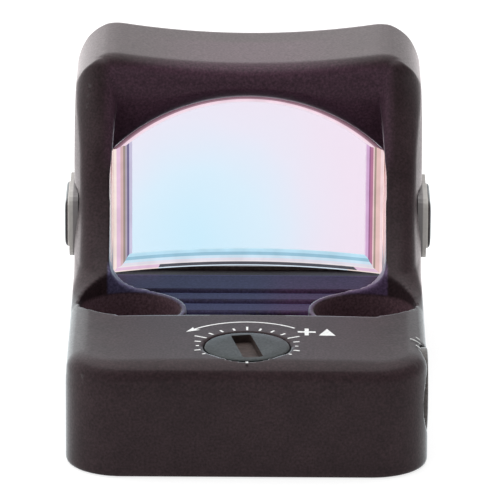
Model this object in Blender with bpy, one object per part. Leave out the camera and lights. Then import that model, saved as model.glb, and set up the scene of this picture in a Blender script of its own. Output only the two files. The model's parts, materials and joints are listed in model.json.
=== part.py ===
# Red dot finder: a compact open reflex sight, as an assembly of separate pieces.
# World frame: X to the user's right, Y forward (towards the target), Z up. The
# origin is on the bottom face, at mid width and mid length.
# Sizes are in millimetres, and Y is counted from the rear face; to_world() turns
# both into metres in the world frame. "Spans" are (low, high) pairs, and a box is
# given by its X, Y and Z spans. Tables of side profiles are (Y, Z) points.
from collections import namedtuple
from math import pi, sin, cos, tan, radians, sqrt, atan2

import bmesh
import bpy
from mathutils import Vector, Matrix

for old in list(bpy.data.objects):
    bpy.data.objects.remove(old, do_unlink=True)

MM = 0.001
SIDES = (-1, 1)            # left and right
OVERRUN = 1.0              # how far a cutter passes beyond the face it opens
BELOW = -OVERRUN           # start of the cutters that open the bottom face

# ---------------------------------------------------------------- overall sizes
WIDTH = 28.0
HALF_WIDTH = WIDTH / 2
LENGTH = 45.0
REAR_CORNER = 4.4          # plan radii of the vertical corners
FRONT_CORNER = 3.6
DECK_Z = 9.1               # top of the rear block

# ---------------------------------------------------------------- materials
ANODISED = (0.030, 0.027, 0.029)
STEEL = (0.55, 0.55, 0.56)
BRASS = (0.70, 0.55, 0.28)
RUBBER = (0.018, 0.018, 0.018)
CLEAR = (0.92, 0.94, 0.97)

HOUSING_LOOK = dict(colour=ANODISED, roughness=0.55, metallic=0.4)
BEZEL_LOOK = dict(colour=ANODISED, roughness=0.55, metallic=0.3)
ADJUSTER_LOOK = dict(colour=ANODISED, roughness=0.5, metallic=0.5)
BALL_LOOK = dict(colour=STEEL, roughness=0.15, metallic=1.0)
SPRING_LOOK = dict(colour=STEEL, roughness=0.3, metallic=1.0)
SCREW_LOOK = dict(colour=STEEL, roughness=0.35, metallic=1.0)
NUT_LOOK = dict(colour=BRASS, roughness=0.35, metallic=1.0)
CONTACT_LOOK = dict(colour=BRASS, roughness=0.3, metallic=1.0)
CELL_LOOK = dict(colour=(0.62, 0.62, 0.60), roughness=0.28, metallic=1.0)
PLATE_LOOK = dict(colour=(0.10, 0.10, 0.11), roughness=0.4, metallic=0.9)
CARRIAGE_LOOK = dict(colour=(0.08, 0.08, 0.09), roughness=0.5, metallic=0.3)
ORING_LOOK = dict(colour=RUBBER, roughness=0.6)
RUBBER_LOOK = dict(colour=RUBBER, roughness=0.7)
MIRROR_LOOK = dict(colour=(0.80, 0.72, 0.90), roughness=0.03, transmission=0.9)
LENS_LOOK = dict(colour=CLEAR, roughness=0.03, transmission=0.9)
PANE_LOOK = dict(colour=CLEAR, roughness=0.05, transmission=0.9)
ADHESIVE_LOOK = dict(colour=(0.10, 0.07, 0.05), roughness=0.5)
LED_LOOK = dict(colour=(0.85, 0.80, 0.65), roughness=0.4, emission=(1.0, 0.05, 0.02))
SWITCH_LOOK = dict(colour=(0.05, 0.05, 0.05), roughness=0.4)
PLUNGER_LOOK = dict(colour=(0.5, 0.08, 0.06), roughness=0.5)
BOARD_LOOK = dict(colour=(0.02, 0.16, 0.06), roughness=0.4)
CHIP_LOOK = dict(colour=(0.02, 0.02, 0.02), roughness=0.35)
FLEX_LOOK = dict(colour=(0.55, 0.28, 0.05), roughness=0.35)
INSULATOR_LOOK = dict(colour=(0.75, 0.68, 0.45), roughness=0.5)


def make_material(name, colour, roughness, metallic=0.0, transmission=0.0, emission=None):
    material = bpy.data.materials.new(name)
    material.use_nodes = True
    inputs = material.node_tree.nodes['Principled BSDF'].inputs
    inputs['Base Color'].default_value = (*colour, 1.0)
    inputs['Roughness'].default_value = roughness
    inputs['Metallic'].default_value = metallic
    inputs['Transmission Weight'].default_value = transmission
    if emission:
        inputs['Emission Color'].default_value = (*emission, 1.0)
        inputs['Emission Strength'].default_value = 1.0
    return material


# ---------------------------------------------------------------- outlines
def to_world(x, y, z):
    return Vector((x * MM, (y - LENGTH / 2) * MM, z * MM))


def place(axis, u, v, w):
    """A point with profile coordinates u, v and position w along the axis."""
    if axis == 'x':
        return (w, u, v)
    if axis == 'y':
        return (u, w, v)
    return (u, v, w)


def on_side(side, span):
    """An X span given for the right side, on the chosen side."""
    return sorted((side * span[0], side * span[1]))


def circle(u, v, radius, n, start=0.0):
    angles = [start + 2 * pi * i / n for i in range(n)]
    return [(u + radius * cos(a), v + radius * sin(a)) for a in angles]


def fillet(points, radii, seg=6):
    """Polygon with its corners rounded by the given radii."""
    out = []
    for i, (point, radius) in enumerate(zip(points, radii)):
        if radius <= 0:
            out.append(point)
            continue
        corner = Vector(point)
        back = (Vector(points[i - 1]) - corner).normalized()
        ahead = (Vector(points[(i + 1) % len(points)]) - corner).normalized()
        half = back.angle(ahead) / 2.0
        centre = corner + (back + ahead).normalized() * (radius / sin(half))
        start = corner + back * (radius / tan(half)) - centre
        end = corner + ahead * (radius / tan(half)) - centre
        start_angle = atan2(start.y, start.x)
        turn = (atan2(end.y, end.x) - start_angle + pi) % (2 * pi) - pi
        for k in range(seg + 1):
            a = start_angle + turn * k / seg
            out.append((centre.x + radius * cos(a), centre.y + radius * sin(a)))
    return out


def plan(half_x, y_span, rear_r, front_r, seg):
    """Rounded rectangle seen from above, symmetric in X."""
    y0, y1 = y_span
    points = [(-half_x, y0), (half_x, y0), (half_x, y1), (-half_x, y1)]
    return fillet(points, [rear_r, rear_r, front_r, front_r], seg)


def arc_points(first, last, turn, seg):
    """Arc between two points, turning anticlockwise by the angle, ends included."""
    a, b = Vector(first), Vector(last)
    chord = b - a
    radius = chord.length / (2 * sin(turn / 2))
    normal = Vector((-chord.y, chord.x)).normalized()
    centre = (a + b) / 2 + normal * (radius * cos(turn / 2))
    start = atan2(a.y - centre.y, a.x - centre.x)
    angles = [start + turn * k / seg for k in range(seg + 1)]
    return [(centre.x + radius * cos(g), centre.y + radius * sin(g)) for g in angles]


def arch_points(half_x, spring, apex, seg):
    """Low arch from the right springing to the left, as (x, height) points."""
    rise = apex - spring
    radius = (half_x * half_x + rise * rise) / (2 * rise)
    half = atan2(half_x, radius - rise)
    angles = [half - 2 * half * i / seg for i in range(seg + 1)]
    return [(radius * sin(a), apex - radius + radius * cos(a)) for a in angles]


# ---------------------------------------------------------------- solids
def loft(name, loops, closed=False):
    """Solid skinned over successive loops of points. A loop of one point is a
    tip. A closed loft joins its last loop to its first; otherwise the ends are
    capped."""
    bm = bmesh.new()
    rows = [[bm.verts.new(to_world(*p)) for p in loop] for loop in loops]
    pairs = list(zip(rows, rows[1:]))
    if closed:
        pairs.append((rows[-1], rows[0]))
    for a, b in pairs:
        n = max(len(a), len(b))
        for i in range(n):
            j = (i + 1) % n
            if len(a) == 1:
                bm.faces.new((a[0], b[i], b[j]))
            elif len(b) == 1:
                bm.faces.new((a[i], a[j], b[0]))
            else:
                bm.faces.new((a[i], a[j], b[j], b[i]))
    if not closed:
        for end in (rows[0], rows[-1]):
            if len(end) > 1:
                bm.faces.new(end)
    bmesh.ops.recalc_face_normals(bm, faces=bm.faces)
    mesh = bpy.data.meshes.new(name)
    bm.to_mesh(mesh)
    bm.free()
    return link(name, mesh)


def link(name, mesh):
    piece = bpy.data.objects.new(name, mesh)
    bpy.context.scene.collection.objects.link(piece)
    return piece


def prism(name, points, axis, lo, hi):
    return loft(name, [[place(axis, u, v, w) for u, v in points] for w in (lo, hi)])


def box(name, x_span, y_span, z_span):
    (x0, x1), (y0, y1) = x_span, y_span
    return prism(name, [(x0, y0), (x1, y0), (x1, y1), (x0, y1)], 'z', *z_span)


def cylinder(name, axis, u, v, radius, lo, hi, n=24):
    return prism(name, circle(u, v, radius, n), axis, lo, hi)


def lathe(name, profile, axis, u, v, n=24):
    """Solid of revolution. The profile of (radius, height) starts and ends on
    the axis."""
    loops = []
    for radius, height in profile:
        outline = circle(u, v, radius, n) if radius > 1e-9 else [(u, v)]
        loops.append([place(axis, pu, pv, height) for pu, pv in outline])
    return loft(name, loops)


def ring(name, profile, axis, u, v, n, start=0.0, end=None):
    """Closed profile (radius, height) turned round the axis; a full turn, or an
    open C with flat ends when an end angle is given."""
    full = end is None
    span = 2 * pi if full else end - start
    angles = [start + span * i / n for i in range(n if full else n + 1)]
    loops = [[place(axis, u + r * cos(a), v + r * sin(a), h) for r, h in profile]
             for a in angles]
    return loft(name, loops, closed=full)


def coil(name, axis, u, v, radius, wire, lo, hi, turns, per_turn=10, n=5):
    """Compression spring: a round wire wound along the axis."""
    steps = int(turns * per_turn)
    section = circle(0.0, 0.0, wire, n)
    loops = []
    for i in range(steps + 1):
        a = 2 * pi * i / per_turn
        centre = lo + wire + (hi - lo - 2 * wire) * i / steps
        loops.append([place(axis, u + (radius + out) * cos(a), v + (radius + out) * sin(a),
                            centre + along) for out, along in section])
    return loft(name, loops)


# ---------------------------------------------------------------- operations
def boolean(piece, tool, operation):
    """The piece becomes the result of a boolean with the tool, which goes away."""
    modifier = piece.modifiers.new('cut', 'BOOLEAN')
    modifier.operation = operation
    modifier.solver = 'EXACT'
    modifier.object = tool
    depsgraph = bpy.context.evaluated_depsgraph_get()
    depsgraph.update()
    mesh = bpy.data.meshes.new_from_object(piece.evaluated_get(depsgraph))
    piece.modifiers.clear()
    piece.data = mesh
    bpy.data.objects.remove(tool, do_unlink=True)


def cut(piece, *tools):
    for tool in tools:
        boolean(piece, tool, 'DIFFERENCE')
    return piece


def add(piece, *others):
    for other in others:
        boolean(piece, other, 'UNION')
    return piece


def keep(piece, other):
    """Keep what the piece shares with the other."""
    boolean(piece, other, 'INTERSECT')
    return piece


def joined_boxes(name, first, *others):
    return add(box(name, *first), *[box('block', *spans) for spans in others])


def mirror_x(name, piece):
    """A mirrored copy of a piece, on the other side of the centre plane."""
    mesh = piece.data.copy()
    mesh.name = name
    mesh.transform(Matrix.Scale(-1, 4, (1, 0, 0)))
    mesh.flip_normals()
    return link(name, mesh)


def finish(piece, look, pivot=None, sharp=35.0):
    """Material, shading, and the origin on the joint axis of a moving piece.
    Edges sharper than the angle in degrees stay crisp."""
    if pivot is not None:
        origin = to_world(*pivot)
        piece.data.transform(Matrix.Translation(-origin))
        piece.location = origin
    piece.data.materials.clear()
    piece.data.materials.append(make_material(piece.name, **look))
    piece.data.shade_smooth()
    piece.data.set_sharp_from_angle(angle=radians(sharp))


# ---------------------------------------------------------------- shared places
POCKET_X = 9.4             # counterbore for a mounting screw
POCKET_Y = 16.55
MOUNT_HOLE_R = 1.9

LENS_SEAT_Z = 5.0

CELL_Y = 31.0
CELL_R = 10.0
CELL_T = 3.2
CELL_Z = 0.95

RECESS_Z = 0.9             # recess of the underside for seal and plate
RECESS_IN = 1.3
PLATE_SCREWS = ((-11.2, 22.4), (11.2, 22.4), (-11.2, 41.0), (11.2, 41.0))   # x, y

BUTTON_Y = 30.0
BUTTON_Z = 11.6

ELEVATION_Y = 4.8          # axis of the elevation screw, upright in the deck
WINDAGE_Y = 6.2            # axis of the windage screw, in the right side
WINDAGE_Z = 5.1

# u, v: axis in profile coordinates; wall: outer face of the housing there;
# boss_end, bore_end, detent_end: inner ends of boss, shaft bore and detent bore;
# reach: length of the screw; clip_gap: angle at which the clip is open
Adjuster = namedtuple('Adjuster', 'name axis u v wall boss_end bore_end detent_end '
                                  'slot_angle reach clip_gap')
ADJUSTERS = (
    Adjuster('elevation', 'z', 0.0, ELEVATION_Y, wall=DECK_Z, boss_end=6.1, bore_end=5.5,
             detent_end=6.45, slot_angle=radians(11.7), reach=7.1, clip_gap=-pi / 2),
    Adjuster('windage', 'x', WINDAGE_Y, WINDAGE_Z, wall=HALF_WIDTH, boss_end=10.9,
             bore_end=10.5, detent_end=11.25, slot_angle=0.4, reach=8.7, clip_gap=pi / 2),
)
DETENT_R = 2.2             # the click ball lies this far from the screw axis


def recess_plan(gap=0.0):
    """Outline of the underside recess, or of a piece that lies in it with a gap."""
    inset = RECESS_IN + gap
    return plan(HALF_WIDTH - inset, (inset, LENGTH - inset), REAR_CORNER - RECESS_IN,
                FRONT_CORNER - RECESS_IN, seg=6)


def button_outline(half_y, half_z, radius, seg=5):
    """Rounded rectangle round the button centre, seen from the side."""
    y0, y1 = BUTTON_Y - half_y, BUTTON_Y + half_y
    z0, z1 = BUTTON_Z - half_z, BUTTON_Z + half_z
    return fillet([(y0, z0), (y1, z0), (y1, z1), (y0, z1)], [radius] * 4, seg)


# ---------------------------------------------------------------- housing shell
BLANK_TOP = 27.0
BLANK_X = 15.0             # half width of the side view cutters
HOOD_START_Y = 9.0         # the hood blank runs forward from inside the rear block
REAR_BLOCK_END = 22.0
REAR_PROFILE_END = 21.0
LOW_PART_END = 24.0

DECK_CROWN = 0.12          # fall of the deck towards its sides
DECK_CROWN_X = 10.5        # where it has fallen that much
DECK_STATIONS = (DECK_CROWN_X, 6.0, 0.0, -6.0, -DECK_CROWN_X)
DECK_SIDE_Z = DECK_Z - 0.22
DECK_EDGE_R = 1.7
REAR_FILLET = 1.3

HOOD_MID_Z = 24.0          # top of the hood on the centre line
EAR_Z = 25.0               # top of the two ears of the hood
EAR_X = 11.2
EAR_R = 2.4
EAR_DRAFT = 0.35           # the sides lean in by this much at the ears
EAR_DROP = 0.05
DRAFT_Z = 16.0             # the sides are upright below this
HOOD_TOP_HALF_X = 11.0     # the hollow top is sampled over this half width
HOOD_TOP_STEPS = 12
HOOD_FOOT = (19.2, DECK_Z)     # side view: rear edge of the hood, foot and top
HOOD_TOP = (29.3, 24.4)
HOOD_SWEEP = radians(46.0)     # turning of the concave rear edge
HOOD_FRONT_LOW = 6.5
HOOD_FRONT_TOP_Y = 40.6
HOOD_CUTTER_TOP = 26.5


def hood_top(x):
    return HOOD_MID_Z + (EAR_Z - HOOD_MID_Z) * (x / EAR_X) ** 2


def block_section():
    """Front view of the rear block: crowned deck with round side edges."""
    deck = [(x, DECK_Z - DECK_CROWN * (x / DECK_CROWN_X) ** 2) for x in DECK_STATIONS]
    points = [(-HALF_WIDTH, 0.0), (HALF_WIDTH, 0.0), (HALF_WIDTH, DECK_SIDE_Z),
              *deck, (-HALF_WIDTH, DECK_SIDE_Z)]
    return fillet(points, [0, 0, DECK_EDGE_R, *[0] * len(deck), DECK_EDGE_R])


def hood_section():
    """Front view of the hood: slight draft, round ears and a hollow top."""
    ear_x = HALF_WIDTH - EAR_DRAFT
    ear_z = hood_top(ear_x) - EAR_DROP
    stations = [HOOD_TOP_HALF_X - 2 * HOOD_TOP_HALF_X * i / HOOD_TOP_STEPS
                for i in range(HOOD_TOP_STEPS + 1)]
    points = [(-HALF_WIDTH, 0.0), (HALF_WIDTH, 0.0), (HALF_WIDTH, DRAFT_Z), (ear_x, ear_z),
              *[(x, hood_top(x)) for x in stations],
              (-ear_x, ear_z), (-HALF_WIDTH, DRAFT_Z)]
    return fillet(points, [0, 0, 0, EAR_R, *[0] * len(stations), EAR_R, 0], seg=8)


def hood_profile():
    """Side view of the hood: concave rear edge, nearly upright front."""
    rear_edge = arc_points(HOOD_FOOT, HOOD_TOP, HOOD_SWEEP, 12)
    return [(10.0, 0.0), (LENGTH, 0.0), (LENGTH, HOOD_FRONT_LOW),
            (HOOD_FRONT_TOP_Y, HOOD_CUTTER_TOP), (HOOD_TOP[0] + 0.4, HOOD_CUTTER_TOP),
            *reversed(rear_edge), (10.0, DECK_Z)]


def rear_block():
    block = prism('rear', block_section(), 'y', -OVERRUN, REAR_BLOCK_END)
    end = REAR_PROFILE_END
    side_view = fillet([(0.0, 0.0), (end, 0.0), (end, DECK_Z + 0.1), (0.0, DECK_Z)],
                       [0, 0, 0, REAR_FILLET])
    return keep(block, prism('rear_side', side_view, 'x', -BLANK_X, BLANK_X))


def hood_block():
    hood = prism('hood', hood_section(), 'y', HOOD_START_Y, LENGTH + OVERRUN)
    keep(hood, prism('hood_side', hood_profile(), 'x', -BLANK_X, BLANK_X))
    # the hood's own foot keeps the round edge of the deck
    low = prism('low', block_section(), 'y', HOOD_START_Y, LOW_PART_END)
    high = box('high', (-BLANK_X, BLANK_X), (HOOD_FOOT[0], LENGTH + OVERRUN),
               (BELOW, BLANK_TOP))
    return keep(hood, add(low, high))


def housing_shell():
    outline = plan(HALF_WIDTH, (0.0, LENGTH), REAR_CORNER, FRONT_CORNER, seg=8)
    shell = prism('housing', outline, 'z', 0.0, BLANK_TOP)
    return keep(shell, add(rear_block(), hood_block()))


# ---------------------------------------------------------------- housing window
OPEN_X = 11.0              # half width of the window opening
OPEN_SPRING_Z = 16.44      # the arch springs here
OPEN_APEX_Z = 21.04
DECK_END = 12.4            # the deck drops to the trough here
# start in Y and floor height of each step of the trough
TROUGH_STEPS = ((DECK_END, 4.8), (25.2, 5.0), (27.6, 5.15), (29.8, 5.3))
STEP_OVERLAP = 0.01
SILL_Y = 37.9              # the sill in front of the glass slopes down from here
SILL_SLOPE = 0.34
SILL_OVERLAP = 0.1
BROW_TOP = (29.2, 23.6)    # side view: the hollowed brow over the glass starts here
BROW_LEAN = 0.353          # and runs this far forward for each step down
BROW_TAPER = 0.096         # loss of half width for each step up
BROW_REAR_Y = 20.0
LENS_SEAT = ((-OPEN_X, OPEN_X), (33.6, 38.3), (LENS_SEAT_Z, 7.0))

POCKET_R = 4.15
POCKET_FLOOR = 3.2
POCKET_TOP = 20.0          # top of the cutter, clear above the trough
POCKET_WALL = 0.45
WALL_Z = (0.0, 8.4)
WALL_REAR_Y = DECK_END - 1.0
WALL_OUT_X = 12.0
CORNER_WALL = ((POCKET_X - 2.0, WALL_OUT_X), (WALL_REAR_Y, POCKET_Y), WALL_Z)
SIDE_WALL = ((10.4, WALL_OUT_X), (WALL_REAR_Y, POCKET_Y + 3.4), WALL_Z)


def opening_section(floor):
    """Front view of the window opening: straight sides under a low arch."""
    return [(-OPEN_X, floor), (OPEN_X, floor),
            *arch_points(OPEN_X, OPEN_SPRING_Z, OPEN_APEX_Z, 16)]


def pocket_wall(side):
    wall = cylinder('wall', 'z', side * POCKET_X, POCKET_Y, POCKET_R + POCKET_WALL, *WALL_Z, 48)
    for (x_span, *spans) in (CORNER_WALL, SIDE_WALL):
        add(wall, box('wall_block', on_side(side, x_span), *spans))
    return wall


def trough_cutter():
    """Window opening, stepped trough and sill, with a wall left round each pocket."""
    front_y, floor = TROUGH_STEPS[-1]
    end = LENGTH + OVERRUN
    trough = prism('trough', opening_section(floor), 'y', front_y, end)
    for (y0, z0), (y1, _) in zip(TROUGH_STEPS, TROUGH_STEPS[1:]):
        add(trough, prism('step', opening_section(z0), 'y', y0, y1 + STEP_OVERLAP))
    for side in SIDES:
        cut(trough, pocket_wall(side))
    top = floor + SILL_OVERLAP
    sill = [(SILL_Y, top), (SILL_Y, floor), (end, floor - SILL_SLOPE * (end - SILL_Y)), (end, top)]
    return add(trough, prism('sill', sill, 'x', -OPEN_X, OPEN_X))


def brow_cutter():
    """Narrower at the top, its face leaning forward as it comes down to the arch."""
    loops = []
    for z in (OPEN_SPRING_Z, BROW_TOP[1] + 0.2):
        half_x = OPEN_X - BROW_TAPER * (z - OPEN_SPRING_Z)
        face_y = BROW_TOP[0] + (BROW_TOP[1] - z) * BROW_LEAN
        loops.append([(-half_x, BROW_REAR_Y, z), (half_x, BROW_REAR_Y, z),
                      (half_x, face_y, z), (-half_x, face_y, z)])
    return loft('brow', loops)


def cut_window(housing):
    cut(housing, trough_cutter())
    cut(housing, brow_cutter())
    cut(housing, box('seat', *LENS_SEAT))


def cut_mounting_pockets(housing):
    for side in SIDES:
        x = side * POCKET_X
        cut(housing, cylinder('pocket', 'z', x, POCKET_Y, POCKET_R, POCKET_FLOOR, POCKET_TOP, 48))
        cut(housing, cylinder('hole', 'z', x, POCKET_Y, MOUNT_HOLE_R, BELOW, POCKET_FLOOR + 0.5))


# ---------------------------------------------------------------- housing inside
CAVITY_PLAN = dict(half_x=12.5, y_span=(1.3, 11.6), rear_r=3.1, front_r=0.5, seg=4)
CAVITY_TOP = 7.7
GUIDE = ((4.1, 4.9), (7.0, 8.6), (2.6, 9.0))           # beside the elevation slide
SPRING_SEAT = ((-9.2, -8.2), (8.8, 13.0), (4.2, 9.0))  # stop of the bias spring

CELL_WELL_R = CELL_R + 0.45
CELL_WELL_TOP = CELL_Z + CELL_T + 0.07
CONTACT_WELL = ((0.1, 4.1), (20.3, CELL_Y + 1.5), (0.5, 4.52))
WIRE_WAY = ((0.1, 4.1), (11.0, 20.8), (0.0, 1.9))

BOSS_R = 3.0
HEAD_BORE_R = 3.4
HEAD_BORE_DEPTH = 1.2
SHAFT_BORE_R = 1.6
DETENT_BORE_R = 0.44

PANE_SEAT = ((-2.0, 2.0), (12.0, 12.8), (4.9, 7.4))
LIGHT_WAY = ((-1.4, 1.4), (11.0, 12.3), (5.15, 7.1))

BEZEL_SEAT = dict(half_y=3.8, half_z=2.75, radius=1.3)
BEZEL_SEAT_X = (13.5, 16.0)
SWITCH_SEAT = dict(half_y=3.2, half_z=2.15, radius=0.9, seg=4)
SWITCH_SEAT_X = (11.7, 14.5)

PLATE_HOLE_R = 0.68
PLATE_HOLE_TOP = 3.0


def cavity_cutter():
    """Cavity of the rear block, leaving bosses, slide guides and spring seat."""
    cavity = prism('cavity', plan(**CAVITY_PLAN), 'z', BELOW, CAVITY_TOP)
    for adj in ADJUSTERS:
        cut(cavity, cylinder('boss', adj.axis, adj.u, adj.v, BOSS_R, adj.boss_end, adj.wall, 32))
    for side in SIDES:
        cut(cavity, box('guide', on_side(side, GUIDE[0]), *GUIDE[1:]))
    return cut(cavity, box('spring_seat', *SPRING_SEAT))


def cut_underside(housing):
    cut(housing, prism('recess', recess_plan(), 'z', BELOW, RECESS_Z))
    cut(housing, cavity_cutter())
    cut(housing, cylinder('cell_well', 'z', 0.0, CELL_Y, CELL_WELL_R, BELOW, CELL_WELL_TOP, 48))
    cut(housing, box('contact_well', *CONTACT_WELL))
    cut(housing, box('wire_way', *WIRE_WAY))


def cut_adjuster_bores(housing, adj):
    """Bores for the head, the shaft and the click ball."""
    axis, u, v, wall = adj.axis, adj.u, adj.v, adj.wall
    cut(housing, cylinder('head_bore', axis, u, v, HEAD_BORE_R,
                          wall - HEAD_BORE_DEPTH, wall + OVERRUN, 48))
    cut(housing, cylinder('shaft_bore', axis, u, v, SHAFT_BORE_R, adj.bore_end, wall))
    cut(housing, cylinder('detent_bore', axis, u - DETENT_R, v, DETENT_BORE_R,
                          adj.detent_end, wall, 16))


def cut_button_seats(housing):
    for side in SIDES:
        for outline, x_span in ((BEZEL_SEAT, BEZEL_SEAT_X), (SWITCH_SEAT, SWITCH_SEAT_X)):
            cut(housing, prism('button_seat', button_outline(**outline), 'x',
                               *on_side(side, x_span)))


def build_housing():
    housing = housing_shell()
    cut_window(housing)
    cut_mounting_pockets(housing)
    cut_underside(housing)
    for adj in ADJUSTERS:
        cut_adjuster_bores(housing, adj)
    # window of the emitter, in the wall between the rear block and the trough
    cut(housing, box('pane_seat', *PANE_SEAT), box('light_way', *LIGHT_WAY))
    cut_button_seats(housing)
    for x, y in PLATE_SCREWS:
        cut(housing, cylinder('plate_hole', 'z', x, y, PLATE_HOLE_R, BELOW, PLATE_HOLE_TOP, 12))
    finish(housing, HOUSING_LOOK, sharp=30.0)


# ---------------------------------------------------------------- lens
LENS_TILT = radians(6.8)   # the glass leans back so that it sends the dot forward
LENS_FOOT = (34.6, 5.28)   # rear lower edge of the glass (Y, Z), where it is tilted
LENS_HALF_X = 10.97
LENS_SIDE_HEIGHT = 10.75
LENS_MID_HEIGHT = 15.20
LENS_CENTRE_H = 8.0        # height of the optical centre above the foot
LENS_FOOT_STEPS = 8
LENS_FOOT_CROWN = 0.05
LENS_REAR_T = 1.2
LENS_FRONT_T = 1.3
CEMENT_GAP = 0.06          # between the two elements
MIRROR_R = 44.0
BEVEL_SLOPE = 0.6          # depth of a bevel for its width
RING_SHRINK = (0.12, 0.35, 0.62, 0.82)   # rings of a face, from rim to centre
BEAD = ((-10.6, 10.6), (35.6, 37.2), (LENS_SEAT_Z + 0.05, LENS_SEAT_Z + 0.34))
PANE = ((-1.94, 1.94), (12.05, 12.38), (4.96, 7.34))


def lens_outline(inset):
    """Outline of the glass in its own plane: x, and height above its foot."""
    half_x = LENS_HALF_X - inset
    stations = [-half_x + 2 * half_x * i / LENS_FOOT_STEPS for i in range(LENS_FOOT_STEPS + 1)]
    foot = [(x, inset + LENS_FOOT_CROWN * (1 - (x / half_x) ** 2)) for x in stations]
    return foot + arch_points(half_x, LENS_SIDE_HEIGHT - inset * 0.7, LENS_MID_HEIGHT - inset, 18)


def mirror_sag(x, h):
    """Depth of the hollow mirror face, measured from its rim."""
    rim = MIRROR_R - sqrt(MIRROR_R ** 2 - LENS_HALF_X ** 2)
    return rim - (MIRROR_R - sqrt(MIRROR_R ** 2 - (x * x + (h - LENS_CENTRE_H) ** 2)))


def cement_rear(x, h):
    return LENS_REAR_T + mirror_sag(x, h)


def cement_front(x, h):
    return cement_rear(x, h) + CEMENT_GAP


def outer_front(x, h):
    return LENS_REAR_T + LENS_FRONT_T + 0.5 * mirror_sag(x, h)


def face_rings(surface, bevel):
    """Rings of (x, y, h) over one face of the glass, from its rim to its centre."""
    inner = lens_outline(bevel)
    layers = [inner] if bevel > 0 else []
    for shrink in RING_SHRINK:
        layers.append([(x * (1 - shrink), LENS_CENTRE_H + (h - LENS_CENTRE_H) * (1 - shrink))
                       for x, h in inner])
    layers.append([(0.0, LENS_CENTRE_H)])
    return [[(x, surface(x, h), h) for x, h in layer] for layer in layers]


def lens_element(name, look, rear, front, rear_bevel=0.0, front_bevel=0.0):
    """A glass block between two surfaces of Y, with bevelled rims."""
    outline = lens_outline(0.0)
    rear_edge = [(x, rear(x, h) + rear_bevel * BEVEL_SLOPE, h) for x, h in outline]
    front_edge = [(x, front(x, h) - front_bevel * BEVEL_SLOPE, h) for x, h in outline]
    loops = [*reversed(face_rings(rear, rear_bevel)), rear_edge, front_edge,
             *face_rings(front, front_bevel)]
    foot_y, foot_z = LENS_FOOT
    element = loft(name, [[(x, foot_y + y, foot_z + h) for x, y, h in loop] for loop in loops])
    pivot = to_world(0.0, foot_y, foot_z)
    element.data.transform(Matrix.Translation(pivot) @ Matrix.Rotation(LENS_TILT, 4, 'X')
                           @ Matrix.Translation(-pivot))
    finish(element, look)


def build_optics():
    lens_element('lens_rear_element', MIRROR_LOOK, mirror_sag, cement_rear, rear_bevel=0.9)
    lens_element('lens_front_element', LENS_LOOK, cement_front, outer_front, front_bevel=0.4)
    finish(box('lens_adhesive_bead', *BEAD), ADHESIVE_LOOK)
    finish(box('emitter_window', *PANE), PANE_LOOK)


# ---------------------------------------------------------------- adjusters
FACE_SET_IN = 0.02         # the screw face lies this far inside the wall
HEAD_R = 3.3
HEAD_T = 1.1
HEAD_CHAMFER = 0.15
SHAFT_R = 1.45
ORING_GROOVE_R = 1.0
ORING_GROOVE = (1.75, 2.35)    # depths below the face
CLIP_GROOVE_R = 1.1
CLIP_GROOVE = (3.2, 3.55)
SHAFT_END = 3.8
THREAD_R = 0.9
THREAD_START = 3.9
THREAD_PITCH = 1.0
THREAD_DEPTH = 0.12
TIP_CHAMFER = 0.2
NUT_BORE_R = THREAD_R + 0.08

# radius, and depth below the face, from the face to the start of the thread
SCREW_PROFILE = (
    (0.0, 0.0), (HEAD_R - HEAD_CHAMFER, 0.0), (HEAD_R, HEAD_CHAMFER), (HEAD_R, HEAD_T),
    (SHAFT_R, HEAD_T), (SHAFT_R, ORING_GROOVE[0]),
    (ORING_GROOVE_R, ORING_GROOVE[0]), (ORING_GROOVE_R, ORING_GROOVE[1]),
    (SHAFT_R, ORING_GROOVE[1]), (SHAFT_R, CLIP_GROOVE[0]),
    (CLIP_GROOVE_R, CLIP_GROOVE[0]), (CLIP_GROOVE_R, CLIP_GROOVE[1]),
    (SHAFT_R, CLIP_GROOVE[1]), (SHAFT_R, SHAFT_END), (THREAD_R, SHAFT_END),
)
SLOT_HALF_W = 0.7
SLOT_HALF_L = 2.65
SLOT_DEPTH = 0.6
SLOT_CORNER = 0.25
CLICKS = 24
DIMPLE_R = 0.2
DIMPLE_DEPTH = 0.08
ORING_R = 1.30
ORING_SECTION_R = 0.24
CLIP_DEPTH = 3.37
CLIP_RADII = (1.18, 2.2)
CLIP_HALF_T = 0.11
CLIP_HALF_GAP = 0.5        # radians
BALL_R = 0.36
BALL_CLEARANCE = 0.05
BALL_STEPS = 8
SPRING_R = 0.26
SPRING_WIRE = 0.06


def adjuster_screw(adj, face):
    """Slotted screw head with its shaft and thread, running inwards from its face."""
    profile = [(radius, face - depth) for radius, depth in SCREW_PROFILE]
    for i in range(int((adj.reach - 4.0) / THREAD_PITCH)):
        height = face - THREAD_START - THREAD_PITCH * i
        profile += [(THREAD_R, height), (THREAD_R - THREAD_DEPTH, height - THREAD_PITCH / 2)]
    tip = face - adj.reach
    profile += [(THREAD_R, tip + TIP_CHAMFER), (THREAD_R - TIP_CHAMFER, tip), (0.0, tip)]
    screw = lathe(adj.name + '_screw', profile, adj.axis, adj.u, adj.v, 28)

    w, l = SLOT_HALF_W, SLOT_HALF_L
    corners = fillet([(-w, -l), (w, -l), (w, l), (-w, l)], [SLOT_CORNER] * 4, 2)
    c, s = cos(adj.slot_angle), sin(adj.slot_angle)
    turned = [(adj.u + u * c - v * s, adj.v + u * s + v * c) for u, v in corners]
    cut(screw, prism('slot', turned, adj.axis, face - SLOT_DEPTH, face + OVERRUN))

    # detent dimples under the head
    underside = face - HEAD_T
    for k in range(CLICKS):
        a = 2 * pi * k / CLICKS + pi
        outline = circle(adj.u + DETENT_R * cos(a), adj.v + DETENT_R * sin(a), DIMPLE_R, 4, a)
        cut(screw, prism('dimple', outline, adj.axis, underside - 0.2, underside + DIMPLE_DEPTH))
    return screw


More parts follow.
